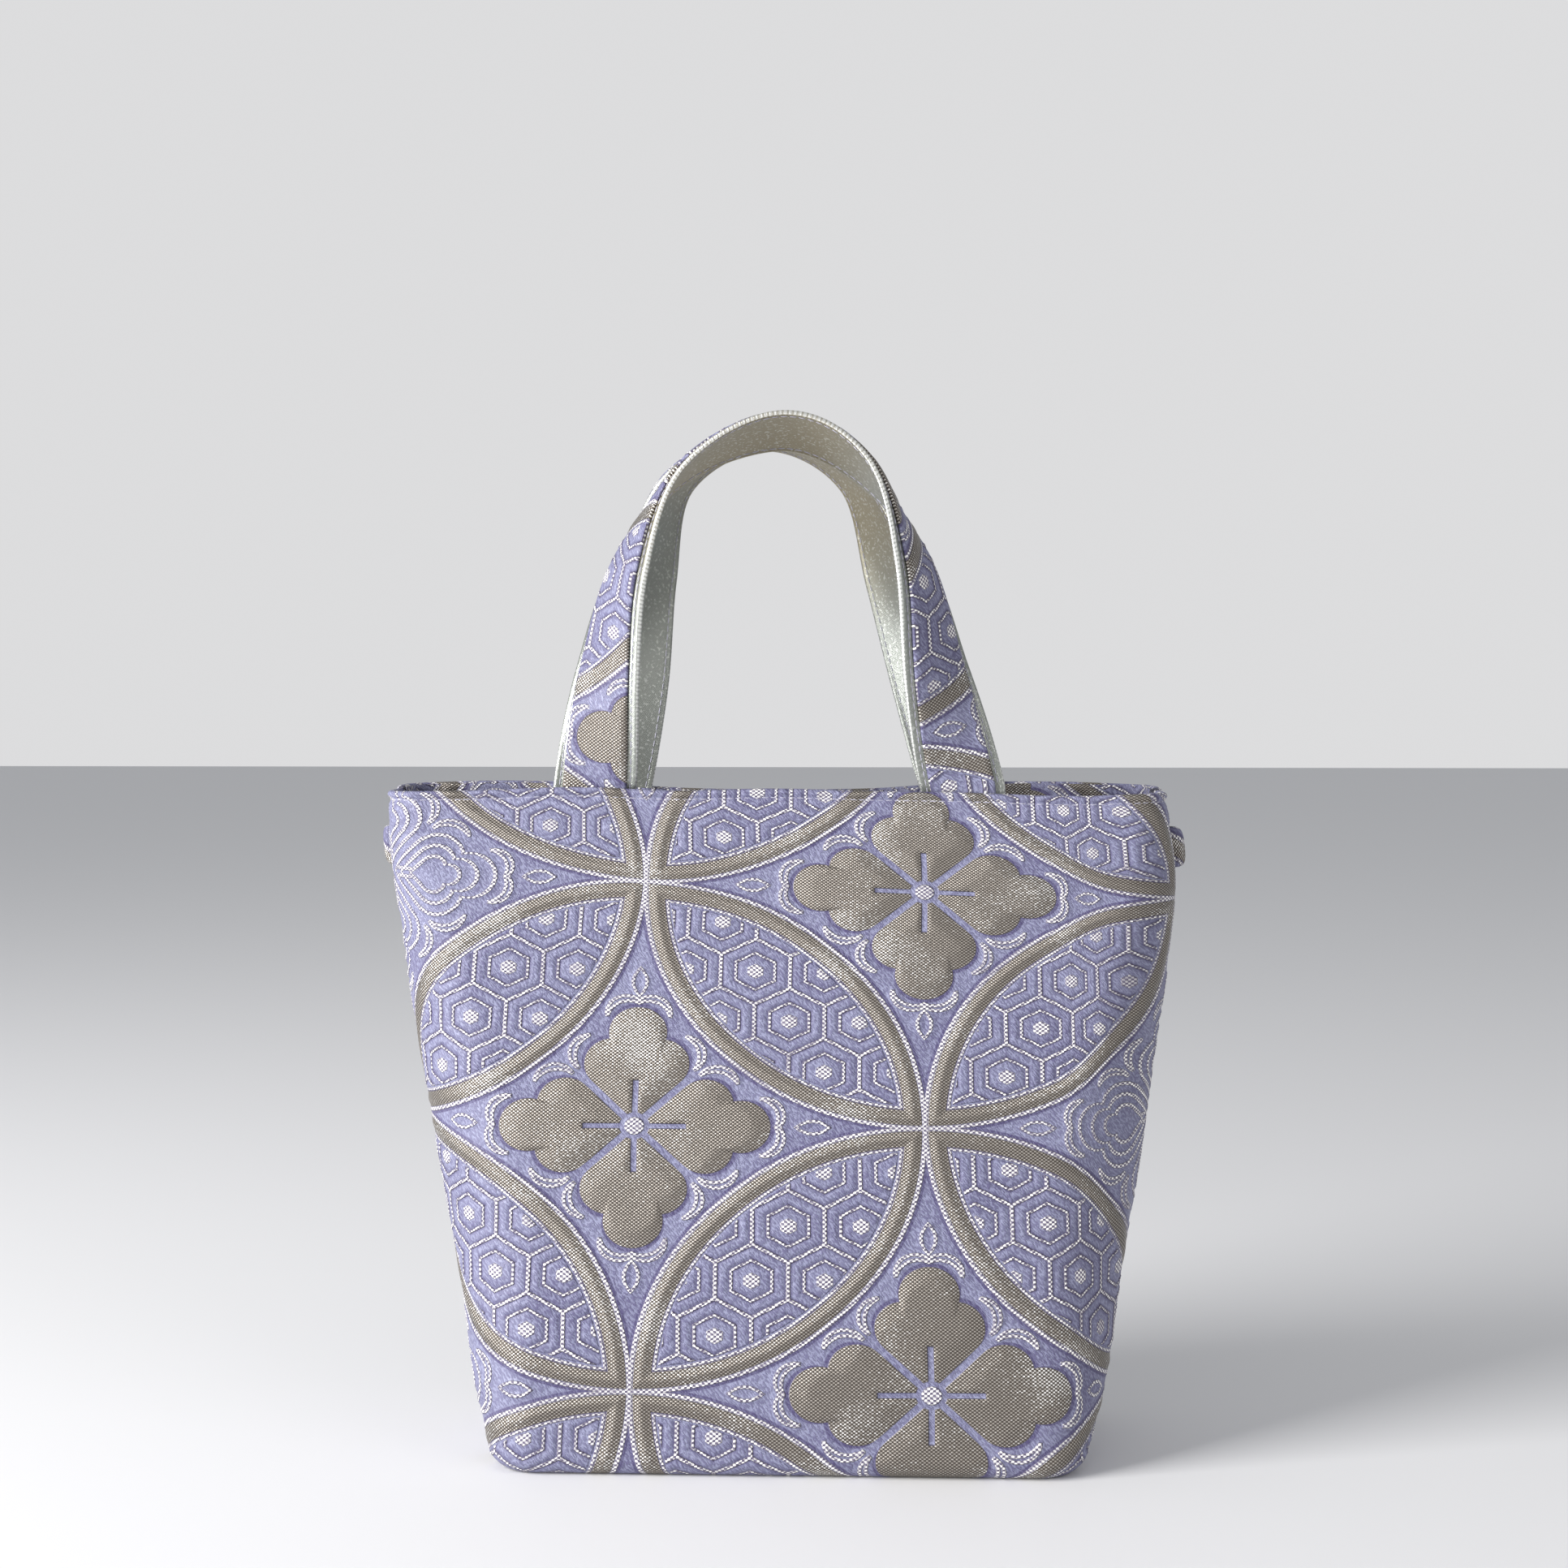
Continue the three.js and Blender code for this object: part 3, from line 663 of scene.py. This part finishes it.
def brocade(name):
    """Lavender satin ground with the figure in metal thread. The thread shows as a fine lattice of
    dots, the product of two cosines, with brighter beads along the cords and painted glints in
    cloudy patches, and the ground shows short slanting strokes and a painted shadow beside the
    raised parts."""
    material, wire = new_material(name)
    cloth = wire.node("UVMap", {"uv_map": "cloth"})
    across = wire.node("SeparateXYZ", None, {0: cloth})
    p = across * CLOTH_SPAN + CLOTH_START[0]
    q = across.beside("Y") * CLOTH_SPAN + CLOTH_START[1]
    parts = figure(p, q)
    solid = high(parts["band"], parts["petals"])
    corded = high(high(parts["edge"], parts["shell"]), parts["lines"])
    metal = high(solid, corded)
    dots = cosine(p * (2 * np.pi * DOTS_ACROSS)) * cosine(q * (2 * np.pi * DOTS_DOWN)) * 0.5 + 0.5
    cloud = noise(cloth, 30.0, 3.0)
    turn = {"Vector": cloth, "Rotation": (0.0, 0.0, 0.9), "Scale": (1.0, 0.35, 1.0)}
    slanted = cloth.node("Mapping", {"vector_type": "TEXTURE"}, turn)
    strokes = rise(noise(slanted, 520.0, 3.0), 0.40, 0.60)
    glint = noise(cloth, 900.0, 1.0)
    spark = rise(dots, 0.45, 0.75)
    # Painted glints: the thread's dots turn near white in cloudy patches.
    painted_glint = spark * rise(glint + cloud * 1.2, 1.14, 1.40)
    open_tone = strokes * 0.55 + rise(cloud, 0.4, 0.7) * 0.25
    # Painted shade: the ground darkens beside the raised figure, on top of its strokes and cloudy
    # tone.
    tone_and_groove_shade = high(open_tone, parts["groove_shade"] * (strokes * 0.3 + 0.7))
    ground = mixed(tone_and_groove_shade, GROUND, GROUND_DARK_AND_SHADE)
    laid = mixed(painted_glint, mixed(spark, THREAD, THREAD_LIGHT), THREAD_GLINT_WHITE)
    beads = cosine(p * (2 * np.pi * BEADS_ACROSS)) * cosine(q * (2 * np.pi * BEADS_DOWN))
    # Painted highlight: the cords' beads are brighter in cloudy patches.
    patchy_glint = rise(glint * 0.5 + cloud, 0.42, 0.95) * 0.8 + 0.35
    dotted = mixed(rise(beads, -0.20, 0.35) * patchy_glint, THREAD_SHADE, THREAD_GLINT_WHITE)
    laid = mixed(corded, laid, dotted)
    weave = (dots * 0.22 + glint * 0.12) * metal + strokes * (1 - metal) * 0.14
    finish_material(wire, {
        "Base Color": mixed(metal, ground, laid),
        "Metallic": solid * 0.6,
        "Roughness": 0.46 - solid * 0.10,
        "Normal": bumped(relief(parts) * 0.8 + weave, 1.0, 1.0),
    })
    return material


brocade_cloth = brocade("brocade")
for side, back in SIDES:
    dress(panel(f"{side}_outer", back), brocade_cloth, "brocade", f"{side}_panel")


# Facing
# The same brocade turned inside the mouth, 34 mm deep, over the sewn ends of the handles.
FACING_THICKNESS = 1.2
FACING_HEIGHT = 34.0
FACING_DROP = 0.6
FACING_ROWS = 30
FACING_ROUNDING = 0.5
LAYER_GAP = 0.8
LEG_SPACING = 122.4
LEG_MARGIN = 2.0
LEG_SEWN_LENGTH = 22.0
STRAP_WIDTH = 27.8
STRAP_THICKNESS = 2.8
STRAP_GAP = 0.5
LEG_EASE = 9.0
LINING_COLUMNS = 140


def leg_room(s, z):
    """How far the facing stands off for a handle's sewn end, from 0 to 1."""
    from_leg = np.abs(np.abs(s) - LEG_SPACING / 2) - STRAP_WIDTH / 2 - LEG_MARGIN
    from_end = RIM_HEIGHT - LEG_SEWN_LENGTH - LEG_MARGIN / 2 - z
    return (1 - smooth(from_leg / LEG_EASE)) * (1 - smooth(from_end / LEG_EASE))


def lining_layer(z, section_z, stand, share=0.0):
    """Points and lattice places of one inner layer, row by row down the wall and over the base."""
    section_z = np.asarray(section_z)[:, None]
    z = np.asarray(z)[:, None]
    stand = np.asarray(stand)[:, None]
    seam = seam_reach(section_z) - SEAM_GAP / 2
    s = np.linspace(-1, 1, LINING_COLUMNS + 1)[None, :] * seam
    room = (STRAP_THICKNESS + STRAP_GAP) * leg_room(s, z)
    x, y = body_point(s, section_z, stand - room)
    y = y + (-SEAM_GAP / 2 - y) * share
    p, q = cloth_place(s, z + 0 * s)
    return np.stack([x, y, z + 0 * s], -1), np.stack([INSIDE_ALONG - p, q], -1)


def closed_skin(outer, inner):
    """Points and faces of the skin round two layers of equal rows."""
    rows, columns = outer.shape[:2]
    points = np.vstack([outer.reshape(-1, 3), inner.reshape(-1, 3)])
    return points, shell_faces(rows, columns, rows, np.arange(rows))


def facing(name, back):
    """A closed skin from two layers, which draw together at the top edge as a bell curve. Their
    rows are closer set there."""
    wall = np.linspace(2.4, FACING_HEIGHT - FACING_DROP, FACING_ROWS)
    z = RIM_HEIGHT - np.array([FACING_DROP, 0.7, 1.0, 1.6, *wall, FACING_HEIGHT])
    from_top = (RIM_HEIGHT - FACING_DROP - z) / FACING_ROUNDING
    round_off = FACING_ROUNDING / 2 * np.exp(-from_top ** 2)
    outer, outer_place = lining_layer(z, z, -CLOTH - LAYER_GAP - round_off)
    inner, inner_place = lining_layer(z, z, -CLOTH - LAYER_GAP - FACING_THICKNESS + round_off)
    points, faces = closed_skin(outer, inner)
    points[:, 2] += rim_waver(points[:, 0], points[:, 2], back)
    places = outer_place.reshape(-1, 2) + (INSIDE_ALONG, 0), inner_place.reshape(-1, 2)
    return add_piece(name, leaned(points, back), faces, np.vstack(places))


for side, back in SIDES:
    dress(facing(f"{side}_mouth_facing", back), brocade_cloth, "facing", f"{side}_facing")


# Lining
# Plain satin, sewn to the lower edge of the facing, down the wall and over the board.
LINING_THICKNESS = 1.0
LINING_LIFT = 2.0
LINING_WALL_ROWS = 48
LINING_FILLET_ROWS = 5
LINING_FLOOR_ROWS = 9


def lining_rows(stand):
    """Heights, section heights, stands and base shares of one face of the lining: down the wall,
    round a quarter circle and over the base."""
    top = RIM_HEIGHT - FACING_HEIGHT - SEAM_GAP
    wall = np.linspace(top, BASE_FILLET + LINING_LIFT, LINING_WALL_ROWS)
    bend = np.linspace(0, np.pi / 2, LINING_FILLET_ROWS + 1)[1:]
    radius = BASE_FILLET + stand
    corner_z = BASE_FILLET + LINING_LIFT - radius * np.sin(bend)
    level = np.ones(LINING_FLOOR_ROWS)
    z = np.concatenate([wall, corner_z, corner_z[-1] * level])
    section_z = np.concatenate([wall, BASE_FILLET * (1 - np.sin(bend)), 0 * level])
    round_corner = radius * np.cos(bend) - BASE_FILLET
    stands = np.concatenate([np.full(LINING_WALL_ROWS, stand), round_corner, -BASE_FILLET * level])
    share = np.linspace(0, 1, LINING_FLOOR_ROWS + 1)[1:]
    shares = np.concatenate([np.zeros(LINING_WALL_ROWS + LINING_FILLET_ROWS), share])
    return z, section_z, stands, shares[:, None]


def lining(name, back):
    outer, _ = lining_layer(*lining_rows(-CLOTH - LAYER_GAP))
    inner, _ = lining_layer(*lining_rows(-CLOTH - LAYER_GAP - LINING_THICKNESS))
    points, faces = closed_skin(outer, inner)
    return add_piece(name, leaned(points, back), faces)


def satin(name, colour, deep):
    """Plain smooth cloth: fine level threads under a soft cloudy shade."""
    material, wire = new_material(name)
    place = wire.node("TexCoord", output="Object")
    cloud = noise(place, 60.0, 4.0)
    waves = {"Vector": place, "Scale": 600.0, "Distortion": 1.0}
    threads = wire.node("TexWave", {"bands_direction": "Z"}, waves, output="Fac")
    finish_material(wire, {
        "Base Color": mixed(rise(cloud, 0.3, 0.75) * 0.6 + threads * 0.2, colour, deep),
        "Roughness": 0.42 + threads * 0.15,
        "Normal": bumped(threads, 0.25, 0.1),
    })
    return material


satin_cloth = satin("lining_satin", srgb(178, 176, 198), srgb(150, 147, 176))
for side, back in SIDES:
    dress(lining(f"{side}_bag_lining", back), satin_cloth, "lining", f"{side}_lining")


# Base board
# A stiff pressed felt board between the base and the lining, which keeps the base flat.
def felt(name):
    """Pressed felt: fine fibres over a soft cloudy shade."""
    material, wire = new_material(name)
    place = wire.node("TexCoord", output="Object")
    fibres = noise(place, 900.0, 5.0)
    cloud = noise(place, 70.0)
    finish_material(wire, {
        "Base Color": mixed(fibres * 0.5 + cloud * 0.5, srgb(214, 208, 196), srgb(190, 183, 170)),
        "Roughness": 0.8 + fibres * 0.15,
        "Normal": bumped(fibres, 0.4, 0.3),
    })
    return material


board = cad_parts["base_board"]
board.data.materials.clear()
board.data.materials.append(felt("board_felt"))


# Handles
# Each handle is a band of silver metal-thread cloth folded to 28 mm, with a narrower strip of
# brocade sewn along its outer face. Its ends are sewn in between the panel and the facing.
STRAP_BORDER = 3.2
BAND_THICKNESS = 1.6
STRIP_THICKNESS = 1.2
SEAM_FROM_EDGE = 2.2
STRAP_STEP = 0.9
ARCH_POINTS = 600
LEG_POINTS = 39
# Where the strip's figure starts, as lattice place across and distance from the rim, and how far
# apart its rows are.
STRIP_START = (0.605, 18.0)
STRIP_ROW = 83.8
# The handles' middle lines from the left leg to the right one, at nine even steps: place across,
# height over the rim, turn of the face from the front towards the top in degrees, and cupping.
ROUTES = {
    "front": {
        "across": [-61.8, -58.0, -50.0, -31.6, 0.5, 26.7, 43.9, 52.2, 60.6],
        "rise": [0, 36.8, 73.6, 105.0, 119.0, 106.8, 75.3, 37.6, 0],
        "turn": [0, 34, 61, 93, 111, 105, 68, 37, 0],
        "cup": [0, 1.2, 2.4, 1.4, 0.8, 1.2, 2.4, 1.4, 0],
    },
    "back": {
        "across": [-60.6, -49.6, -37.2, -22.6, 7.1, 37.2, 48.3, 54.1, 60.6],
        "rise": [0, 35.6, 71.3, 105.6, 119.5, 105.4, 72.0, 36.0, 0],
        "turn": [0, 25, 50, 75, 84, 75, 50, 25, 0],
        "cup": [0, 1.0, 2.0, 1.2, 0.8, 1.2, 2.0, 1.0, 0],
    },
}


def strap_frames(route):
    """Centre, across and outward directions, distance from the rim and cupping along a handle,
    evenly spaced. Smooth curves through the route's steps give the arch between two upright
    sewn legs."""
    share = np.linspace(0, 1, ARCH_POINTS)
    arch = {key: station_curve(values, share) for key, values in route.items()}
    stand = -(CLOTH + STRAP_GAP + STRAP_THICKNESS / 2)
    depth = body_point(np.array([LEG_SPACING / 2]), np.array([RIM_HEIGHT]), stand)[1]
    leg_z = np.linspace(RIM_HEIGHT - LEG_SEWN_LENGTH, RIM_HEIGHT, LEG_POINTS + 1)[:-1]
    leg_y = body_point(np.full(LEG_POINTS, LEG_SPACING / 2), leg_z, stand)[1]
    flat = np.zeros(LEG_POINTS)
    columns = [
        np.concatenate([flat + arch["across"][0], arch["across"], flat + arch["across"][-1]]),
        np.concatenate([leg_y, np.full(ARCH_POINTS, depth[0]), leg_y[::-1]]),
        np.concatenate([leg_z, RIM_HEIGHT + arch["rise"], leg_z[::-1]]),
        np.concatenate([flat, np.radians(arch["turn"]), flat]),
        np.concatenate([flat, arch["cup"], flat]),
    ]
    steps = np.linalg.norm(np.diff(np.stack(columns[:3]), axis=1), axis=0)
    travel = np.concatenate([[0], np.cumsum(steps)])
    even = np.linspace(0, travel[-1], int(travel[-1] / STRAP_STEP))
    x, y, z, turn, cup = (np.interp(even, travel, column) for column in columns)
    centre = np.stack([x, y, z], 1)
    along = np.gradient(centre, axis=0)
    inward = np.stack([along[:, 2], 0 * even, -along[:, 0]], 1)
    inward /= np.linalg.norm(inward, axis=1)[:, None]
    across = inward * np.cos(turn)[:, None] + np.array([0, -1, 0]) * np.sin(turn)[:, None]
    face = np.cross(across, along)
    face /= np.linalg.norm(face, axis=1)[:, None]
    return centre, across, face, even - LEG_SEWN_LENGTH, cup


def carried(frames, across, height):
    """A profile carried along a strap: rows run along it, columns run round the profile. Cupping
    lifts the middle of the strap as a parabola."""
    centre, sideways, face, _, cup = frames
    lifted = height + cup[:, None] * (1 - (across / (STRAP_WIDTH / 2)) ** 2)
    beside = sideways[:, None] * across[..., None]
    return centre[:, None] + beside + face[:, None] * lifted[..., None]


def tube_faces(rows, columns):
    """Quads round a strap and one face over each end."""
    ends = [list(range(columns)), list(range((rows - 1) * columns, rows * columns))[::-1]]
    return grid_faces(rows, columns, around=True).tolist() + ends


def rounded_bar(half_width, low_face, high_face, face_points, end_points):
    """Profile of a flat bar with half-round edges: across and height, running round it once."""
    radius = (high_face - low_face) / 2
    middle = (high_face + low_face) / 2
    flat = np.linspace(-1, 1, face_points) * (half_width - radius)
    bend = np.linspace(np.pi / 2, -np.pi / 2, end_points + 2)[1:-1]
    across = np.concatenate([flat, half_width - radius + radius * np.cos(bend), flat[::-1],
                             radius - half_width - radius * np.cos(bend)])
    height = np.concatenate([np.full(face_points, high_face), middle + radius * np.sin(bend),
                             np.full(face_points, low_face), middle - radius * np.sin(bend)])
    return across, height


def strap_band(name, frames, back):
    """A flat bar carried along the handle, thicker at its folded borders and drawn in at its
    seams."""
    base = -STRAP_THICKNESS / 2
    across, height = rounded_bar(STRAP_WIDTH / 2, base, base + BAND_THICKNESS, 41, 5)
    border = smooth((np.abs(across) - (STRAP_WIDTH / 2 - STRAP_BORDER)) / 0.8)
    seam = np.exp(-((np.abs(across) - STRAP_WIDTH / 2 + SEAM_FROM_EDGE) / 0.5) ** 2)
    middle = base + BAND_THICKNESS / 2
    height = middle + (height - middle) * (1 + 0.18 * border - 0.3 * seam)
    travel = frames[3][:, None] + 0 * across
    points = carried(frames, across + 0 * travel, height + 0 * travel)
    faces = tube_faces(*points.shape[:2])
    place = np.stack([across / 10 + 0 * travel, travel / 100], -1).reshape(-1, 2)
    return add_piece(name, turned(points.reshape(-1, 3), back), faces, place)


def strap_strip(name, frames, back):
    """A narrower flat bar on the band, with the raised figure on its outer face."""
    top = STRAP_THICKNESS / 2
    half = STRAP_WIDTH / 2 - STRAP_BORDER
    across, height = rounded_bar(half, top - STRIP_THICKNESS, top, 45, 3)
    travel = frames[3][:, None] + 0 * across
    p = STRIP_START[0] + across / RING_RADIUS + 0 * travel
    q = (STRIP_START[1] - travel) / STRIP_ROW
    outside = (height > top - 0.1) * smooth((half - np.abs(across)) / 2)
    height = height + relief(figure(p, q, MESH_SOFT)) * outside * 0.8
    points = carried(frames, across + 0 * travel, height)
    faces = tube_faces(*points.shape[:2])
    place = np.stack([p + (2 if back else 0), q], -1).reshape(-1, 2)
    return add_piece(name, turned(points.reshape(-1, 3), back), faces, place)


LAME_THREAD_PITCH = 0.8
LAME_BEAD_PITCH = 1.4


def lame(name):
    """Silver cloth: fine crossing metal threads, with a painted warm reflection round the handle's
    top, painted glints on its grains and a painted highlight of bright beads on the folded edges.
    Its map holds the distance across the strap in cm and along it in dm, so a pitch in mm is a
    tenth of one and a hundredth of the other."""
    material, wire = new_material(name)
    cloth = wire.node("UVMap", {"uv_map": "cloth"})
    spot = wire.node("SeparateXYZ", None, {0: cloth})
    across = spot * CLOTH_SPAN + CLOTH_START[0]
    along = spot.beside("Y") * CLOTH_SPAN + CLOTH_START[1]
    place = wire.node("TexCoord", output="Object")
    grain = noise(place, 1100.0)
    cloud = noise(place, 55.0)
    lengthwise = sine(along * (2 * np.pi * 100 / LAME_THREAD_PITCH))
    crosswise = sine(across * (2 * np.pi * 10 / LAME_THREAD_PITCH))
    threads = lengthwise * crosswise * 0.5 + 0.5
    beads = rise(sine(along * (2 * np.pi * 100 / LAME_BEAD_PITCH)), -0.6, 0.2)
    # Painted highlight: a beaded near-white line along the folded edges.
    edge = rise(abs(across), 1.33, 1.37) * (beads * 0.6 + 0.4)
    # Painted glints: near-white specks on the grains.
    spark = rise(grain, 0.55, 0.68)
    # Painted reflection: the silver turns warm brown round the handle's top.
    crest_reflection = 1 - rise(abs(along - 1.30), 0.25, 0.75)
    cool = mixed(cloud * 0.5 + threads * 0.4, srgb(124, 127, 120), srgb(166, 170, 166))
    silver_and_reflection = mixed(crest_reflection * 0.8, cool, srgb(150, 139, 112))
    finish_material(wire, {
        "Base Color": mixed(high(edge * 0.8, spark * 0.35), silver_and_reflection, srgb(240, 241, 238)),
        "Metallic": 0.75,
        "Roughness": 0.30 + threads * 0.12,
        "Normal": bumped(grain * 0.7 + threads * 0.3, 0.7, 0.22),
    })
    return material


lame_cloth = lame("silver_lame")
strap_routes = {side: strap_frames(route) for side, route in ROUTES.items()}
for side, back in SIDES:
    band = strap_band(f"{side}_strap", strap_routes[side], back)
    strip = strap_strip(f"{side}_strap_brocade", strap_routes[side], back)
    dress(band, lame_cloth, "handle_band", f"{side}_handle_band")
    dress(strip, brocade_cloth, "handle_strip", f"{side}_handle_strip")


# Stitches
# Machine stitches of a fine silver-grey thread: a row under the rolled rim, and a row near each
# edge of both handles, on both faces.
STITCH_PITCH = 2.9
STITCH_LENGTH = 2.3
STITCH_RADIUS = 0.18
STITCH_SIDES = 6
# The rings of a stitch: their places along it as shares of its length, and their girth.
STITCH_PLACES = np.array([-0.5, -0.38, 0, 0.38, 0.5])
STITCH_GIRTHS = np.array([0.15, 0.8, 1.0, 0.8, 0.15])
RIM_STITCH_STAND = -0.72
RIM_STITCH_END = 2.5
STRAP_STITCH_LIFT = 0.02


def stitch_row(centres, out_ways):
    """One small capsule for each stitch along a line of points, lying on the cloth: rings of
    growing and shrinking girth round its own middle line."""
    travel = np.concatenate([[0], np.cumsum(np.linalg.norm(np.diff(centres, axis=0), axis=1))])
    count = int(travel[-1] / STITCH_PITCH)
    spots = (np.arange(count) + 0.5) * travel[-1] / count

    def at(places, values):
        return np.stack([np.interp(places, travel, column) for column in values.T], 1)

    middle, out = at(spots, centres), at(spots, out_ways)
    along = at(spots + 0.5, centres) - middle
    along /= np.linalg.norm(along, axis=1)[:, None]
    out /= np.linalg.norm(out, axis=1)[:, None]
    beside = np.cross(along, out)
    reach = STITCH_PLACES * STITCH_LENGTH
    girth = STITCH_GIRTHS * STITCH_RADIUS
    turn = np.arange(STITCH_SIDES) * 2 * np.pi / STITCH_SIDES
    ring = middle[:, None, None] + along[:, None, None] * reach[:, None, None]
    ring = ring + out[:, None, None] * (girth[:, None] * np.cos(turn))[..., None]
    ring = ring + beside[:, None, None] * (girth[:, None] * np.sin(turn))[..., None]
    return ring.reshape(-1, 3)


def stitches(name, rows):
    """All the rows of one piece's stitches in one mesh."""
    points = np.vstack([stitch_row(*row) for row in rows])
    rings = len(STITCH_PLACES)
    size = rings * STITCH_SIDES
    first = np.arange(0, len(points), size)[:, None]
    sides = first[..., None] + grid_faces(rings, STITCH_SIDES, around=True)[:, ::-1]
    start = first + np.arange(STITCH_SIDES)
    end = start[:, ::-1] + size - STITCH_SIDES
    return add_piece(name, points, sides.reshape(-1, 4).tolist() + start.tolist() + end.tolist())


def thread(name):
    """Twisted sewing thread, a little cloudy along its length."""
    material, wire = new_material(name)
    place = wire.node("TexCoord", output="Object")
    ply = noise(place, 2500.0)
    finish_material(wire, {
        "Base Color": mixed(ply, srgb(150, 148, 170), srgb(196, 195, 206)),
        "Roughness": 0.45 + ply * 0.1,
        "Normal": bumped(ply, 0.3, 0.1),
    })
    return material


def rim_line(back):
    """The stitch line under the rim, with the way out of the cloth at each point."""
    z = np.array([RIM_HEIGHT - GROOVE_BELOW_RIM])
    end = seam_reach(z)[0] - RIM_STITCH_END
    s = np.linspace(-end, end, 500)
    lines = []
    for stand in (RIM_STITCH_STAND, RIM_STITCH_STAND + 1):
        x, y = body_point(s, z, stand)
        lines.append(leaned(np.stack([x, y, z + rim_waver(x, z, back)], 1), back))
    return lines[0], lines[1] - lines[0]


def strap_lines(side, back):
    """The stitch lines of one handle, above the rim only: near both edges, on both faces."""
    frames = strap_routes[side]
    travel = frames[3]
    shown = (travel > 0.5) & (travel < travel[-1] - LEG_SEWN_LENGTH - 0.5)
    from_middle = STRAP_WIDTH / 2 - SEAM_FROM_EDGE
    under = -STRAP_THICKNESS / 2 - STRAP_STITCH_LIFT
    over = -STRAP_THICKNESS / 2 + BAND_THICKNESS + STRAP_STITCH_LIFT
    lines = []
    for height, out in ((over, 1), (under, -1)):
        for across in (-from_middle, from_middle):
            spots = np.full((len(travel), 1), across)
            middle = carried(frames, spots, np.full_like(spots, height))[shown, 0]
            lines.append((turned(middle, back), turned(frames[2][shown] * out, back)))
    return lines


stitch_thread = thread("stitch_thread")
for side, back in SIDES:
    dress(stitches(f"{side}_rim_stitches", [rim_line(back)]), stitch_thread, "brocade")
    dress(stitches(f"{side}_strap_stitches", strap_lines(side, back)), stitch_thread, "handle_band")


# Side tabs
# A short brocade ribbon folded in half and caught in each side seam under the rim.
TAB_WALL = 1.0
TAB_REACH = 5.4
TAB_FOLD_RADIUS = 2.3
TAB_SEWN = 0.9
TAB_ROWS = 26
# The part of the figure that shows on it: lattice place of its corner, and the width and height.
TAB_FIGURE = (2.28, 0.02)
TAB_FIGURE_SIZE = (0.22, 0.14)


def side_tab(name, node, side):
    """A folded ribbon: a wall shaped as a U seen from above, whose fold stands out most at mid
    height by a power curve."""
    low_corner, high_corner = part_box(node)
    bottom, top = low_corner.z / MM, high_corner.z / MM
    root_x = (low_corner.x if side > 0 else high_corner.x) / MM
    share = np.linspace(0, 1, TAB_ROWS)[:, None]
    z = top + (bottom - top) * share
    full = (1 - np.abs(2 * share - 1) ** 3.2) ** 0.45 * 0.45 + 0.55
    bend = np.linspace(-np.pi / 2, np.pi / 2, 19)[None, :]
    run = TAB_REACH * full - TAB_FOLD_RADIUS
    leg_x = np.linspace(0, 1, 8)[None, :-1] * run
    walls = []
    for radius in (TAB_FOLD_RADIUS, TAB_FOLD_RADIUS - TAB_WALL):
        x = np.hstack([leg_x, run + radius * np.cos(bend), leg_x[:, ::-1]])
        y = np.hstack([-radius + 0 * leg_x, radius * np.sin(bend) + 0 * run, radius + 0 * leg_x])
        walls.append(np.stack([root_x + side * (x - TAB_SEWN), side * y, z + 0 * x], -1))
    points, faces = closed_skin(*walls)
    points[:, 0] += lean(points[:, 2])
    around = np.linspace(0, 1, walls[0].shape[1])[None, :]
    part = np.stack([around + 0 * share, share + 0 * around], -1).reshape(-1, 2)
    place = np.array(TAB_FIGURE) + part * TAB_FIGURE_SIZE
    return add_piece(name, points, faces, np.vstack([place, place + (3, 0)]))


for word, side in (("right", 1), ("left", -1)):
    node = f"{word}_side_tab"
    dress(side_tab(f"{word}_loop", node, side), brocade_cloth, "tab", node)


# Floor, backdrop and light
# A plain pale floor and a pale world, with a large soft light from the left and a weaker one from
# the right.
LIGHT_AIM = (0.0, 0.0, 0.15)


def stage_floor():
    """A large plain plane under the bag."""
    bpy.ops.mesh.primitive_plane_add(size=14.0)
    floor_plane = bpy.context.object
    floor_plane.name = "floor"
    material, wire = new_material("pale_floor")
    finish_material(wire, {"Base Color": (0.80, 0.80, 0.81, 1.0), "Roughness": 0.6})
    floor_plane.data.materials.append(material)


def soft_light(name, place, width, height, power, colour):
    """A rectangle of light that faces the bag."""
    data = bpy.data.lights.new(name, "AREA")
    data.shape = "RECTANGLE"
    data.size = width
    data.size_y = height
    data.energy = power
    data.color = colour
    lamp = bpy.data.objects.new(name, data)
    lamp.location = place
    away = np.array(place) - LIGHT_AIM
    level = np.hypot(away[0], away[1])
    lamp.rotation_euler = (np.arctan2(level, away[2]), 0.0, np.arctan2(away[0], -away[1]))
    bpy.context.scene.collection.objects.link(lamp)


stage_floor()
soft_light("left_window", place=(-1.5, -0.95, 0.75), width=0.9, height=1.6, power=67.0,
           colour=(1.0, 0.99, 0.98))
soft_light("right_fill", place=(1.6, -1.4, 0.9), width=1.4, height=1.4, power=8.0,
           colour=(1.0, 0.97, 0.93))

world = bpy.data.worlds.new("pale_world")
world.use_nodes = True
world.node_tree.nodes.clear()
sky = Wire(world.node_tree)
rays = sky.node("LightPath", output="Is Camera Ray")
shown = mixed(rays, (0.56, 0.57, 0.59, 1.0), (0.90, 0.90, 0.91, 1.0))
backdrop = sky.node("Background", None, {"Color": shown, "Strength": 0.8})
sky.node("OutputWorld", None, {"Surface": backdrop})
bpy.context.scene.world = world
bpy.context.scene.view_settings.view_transform = "Standard"
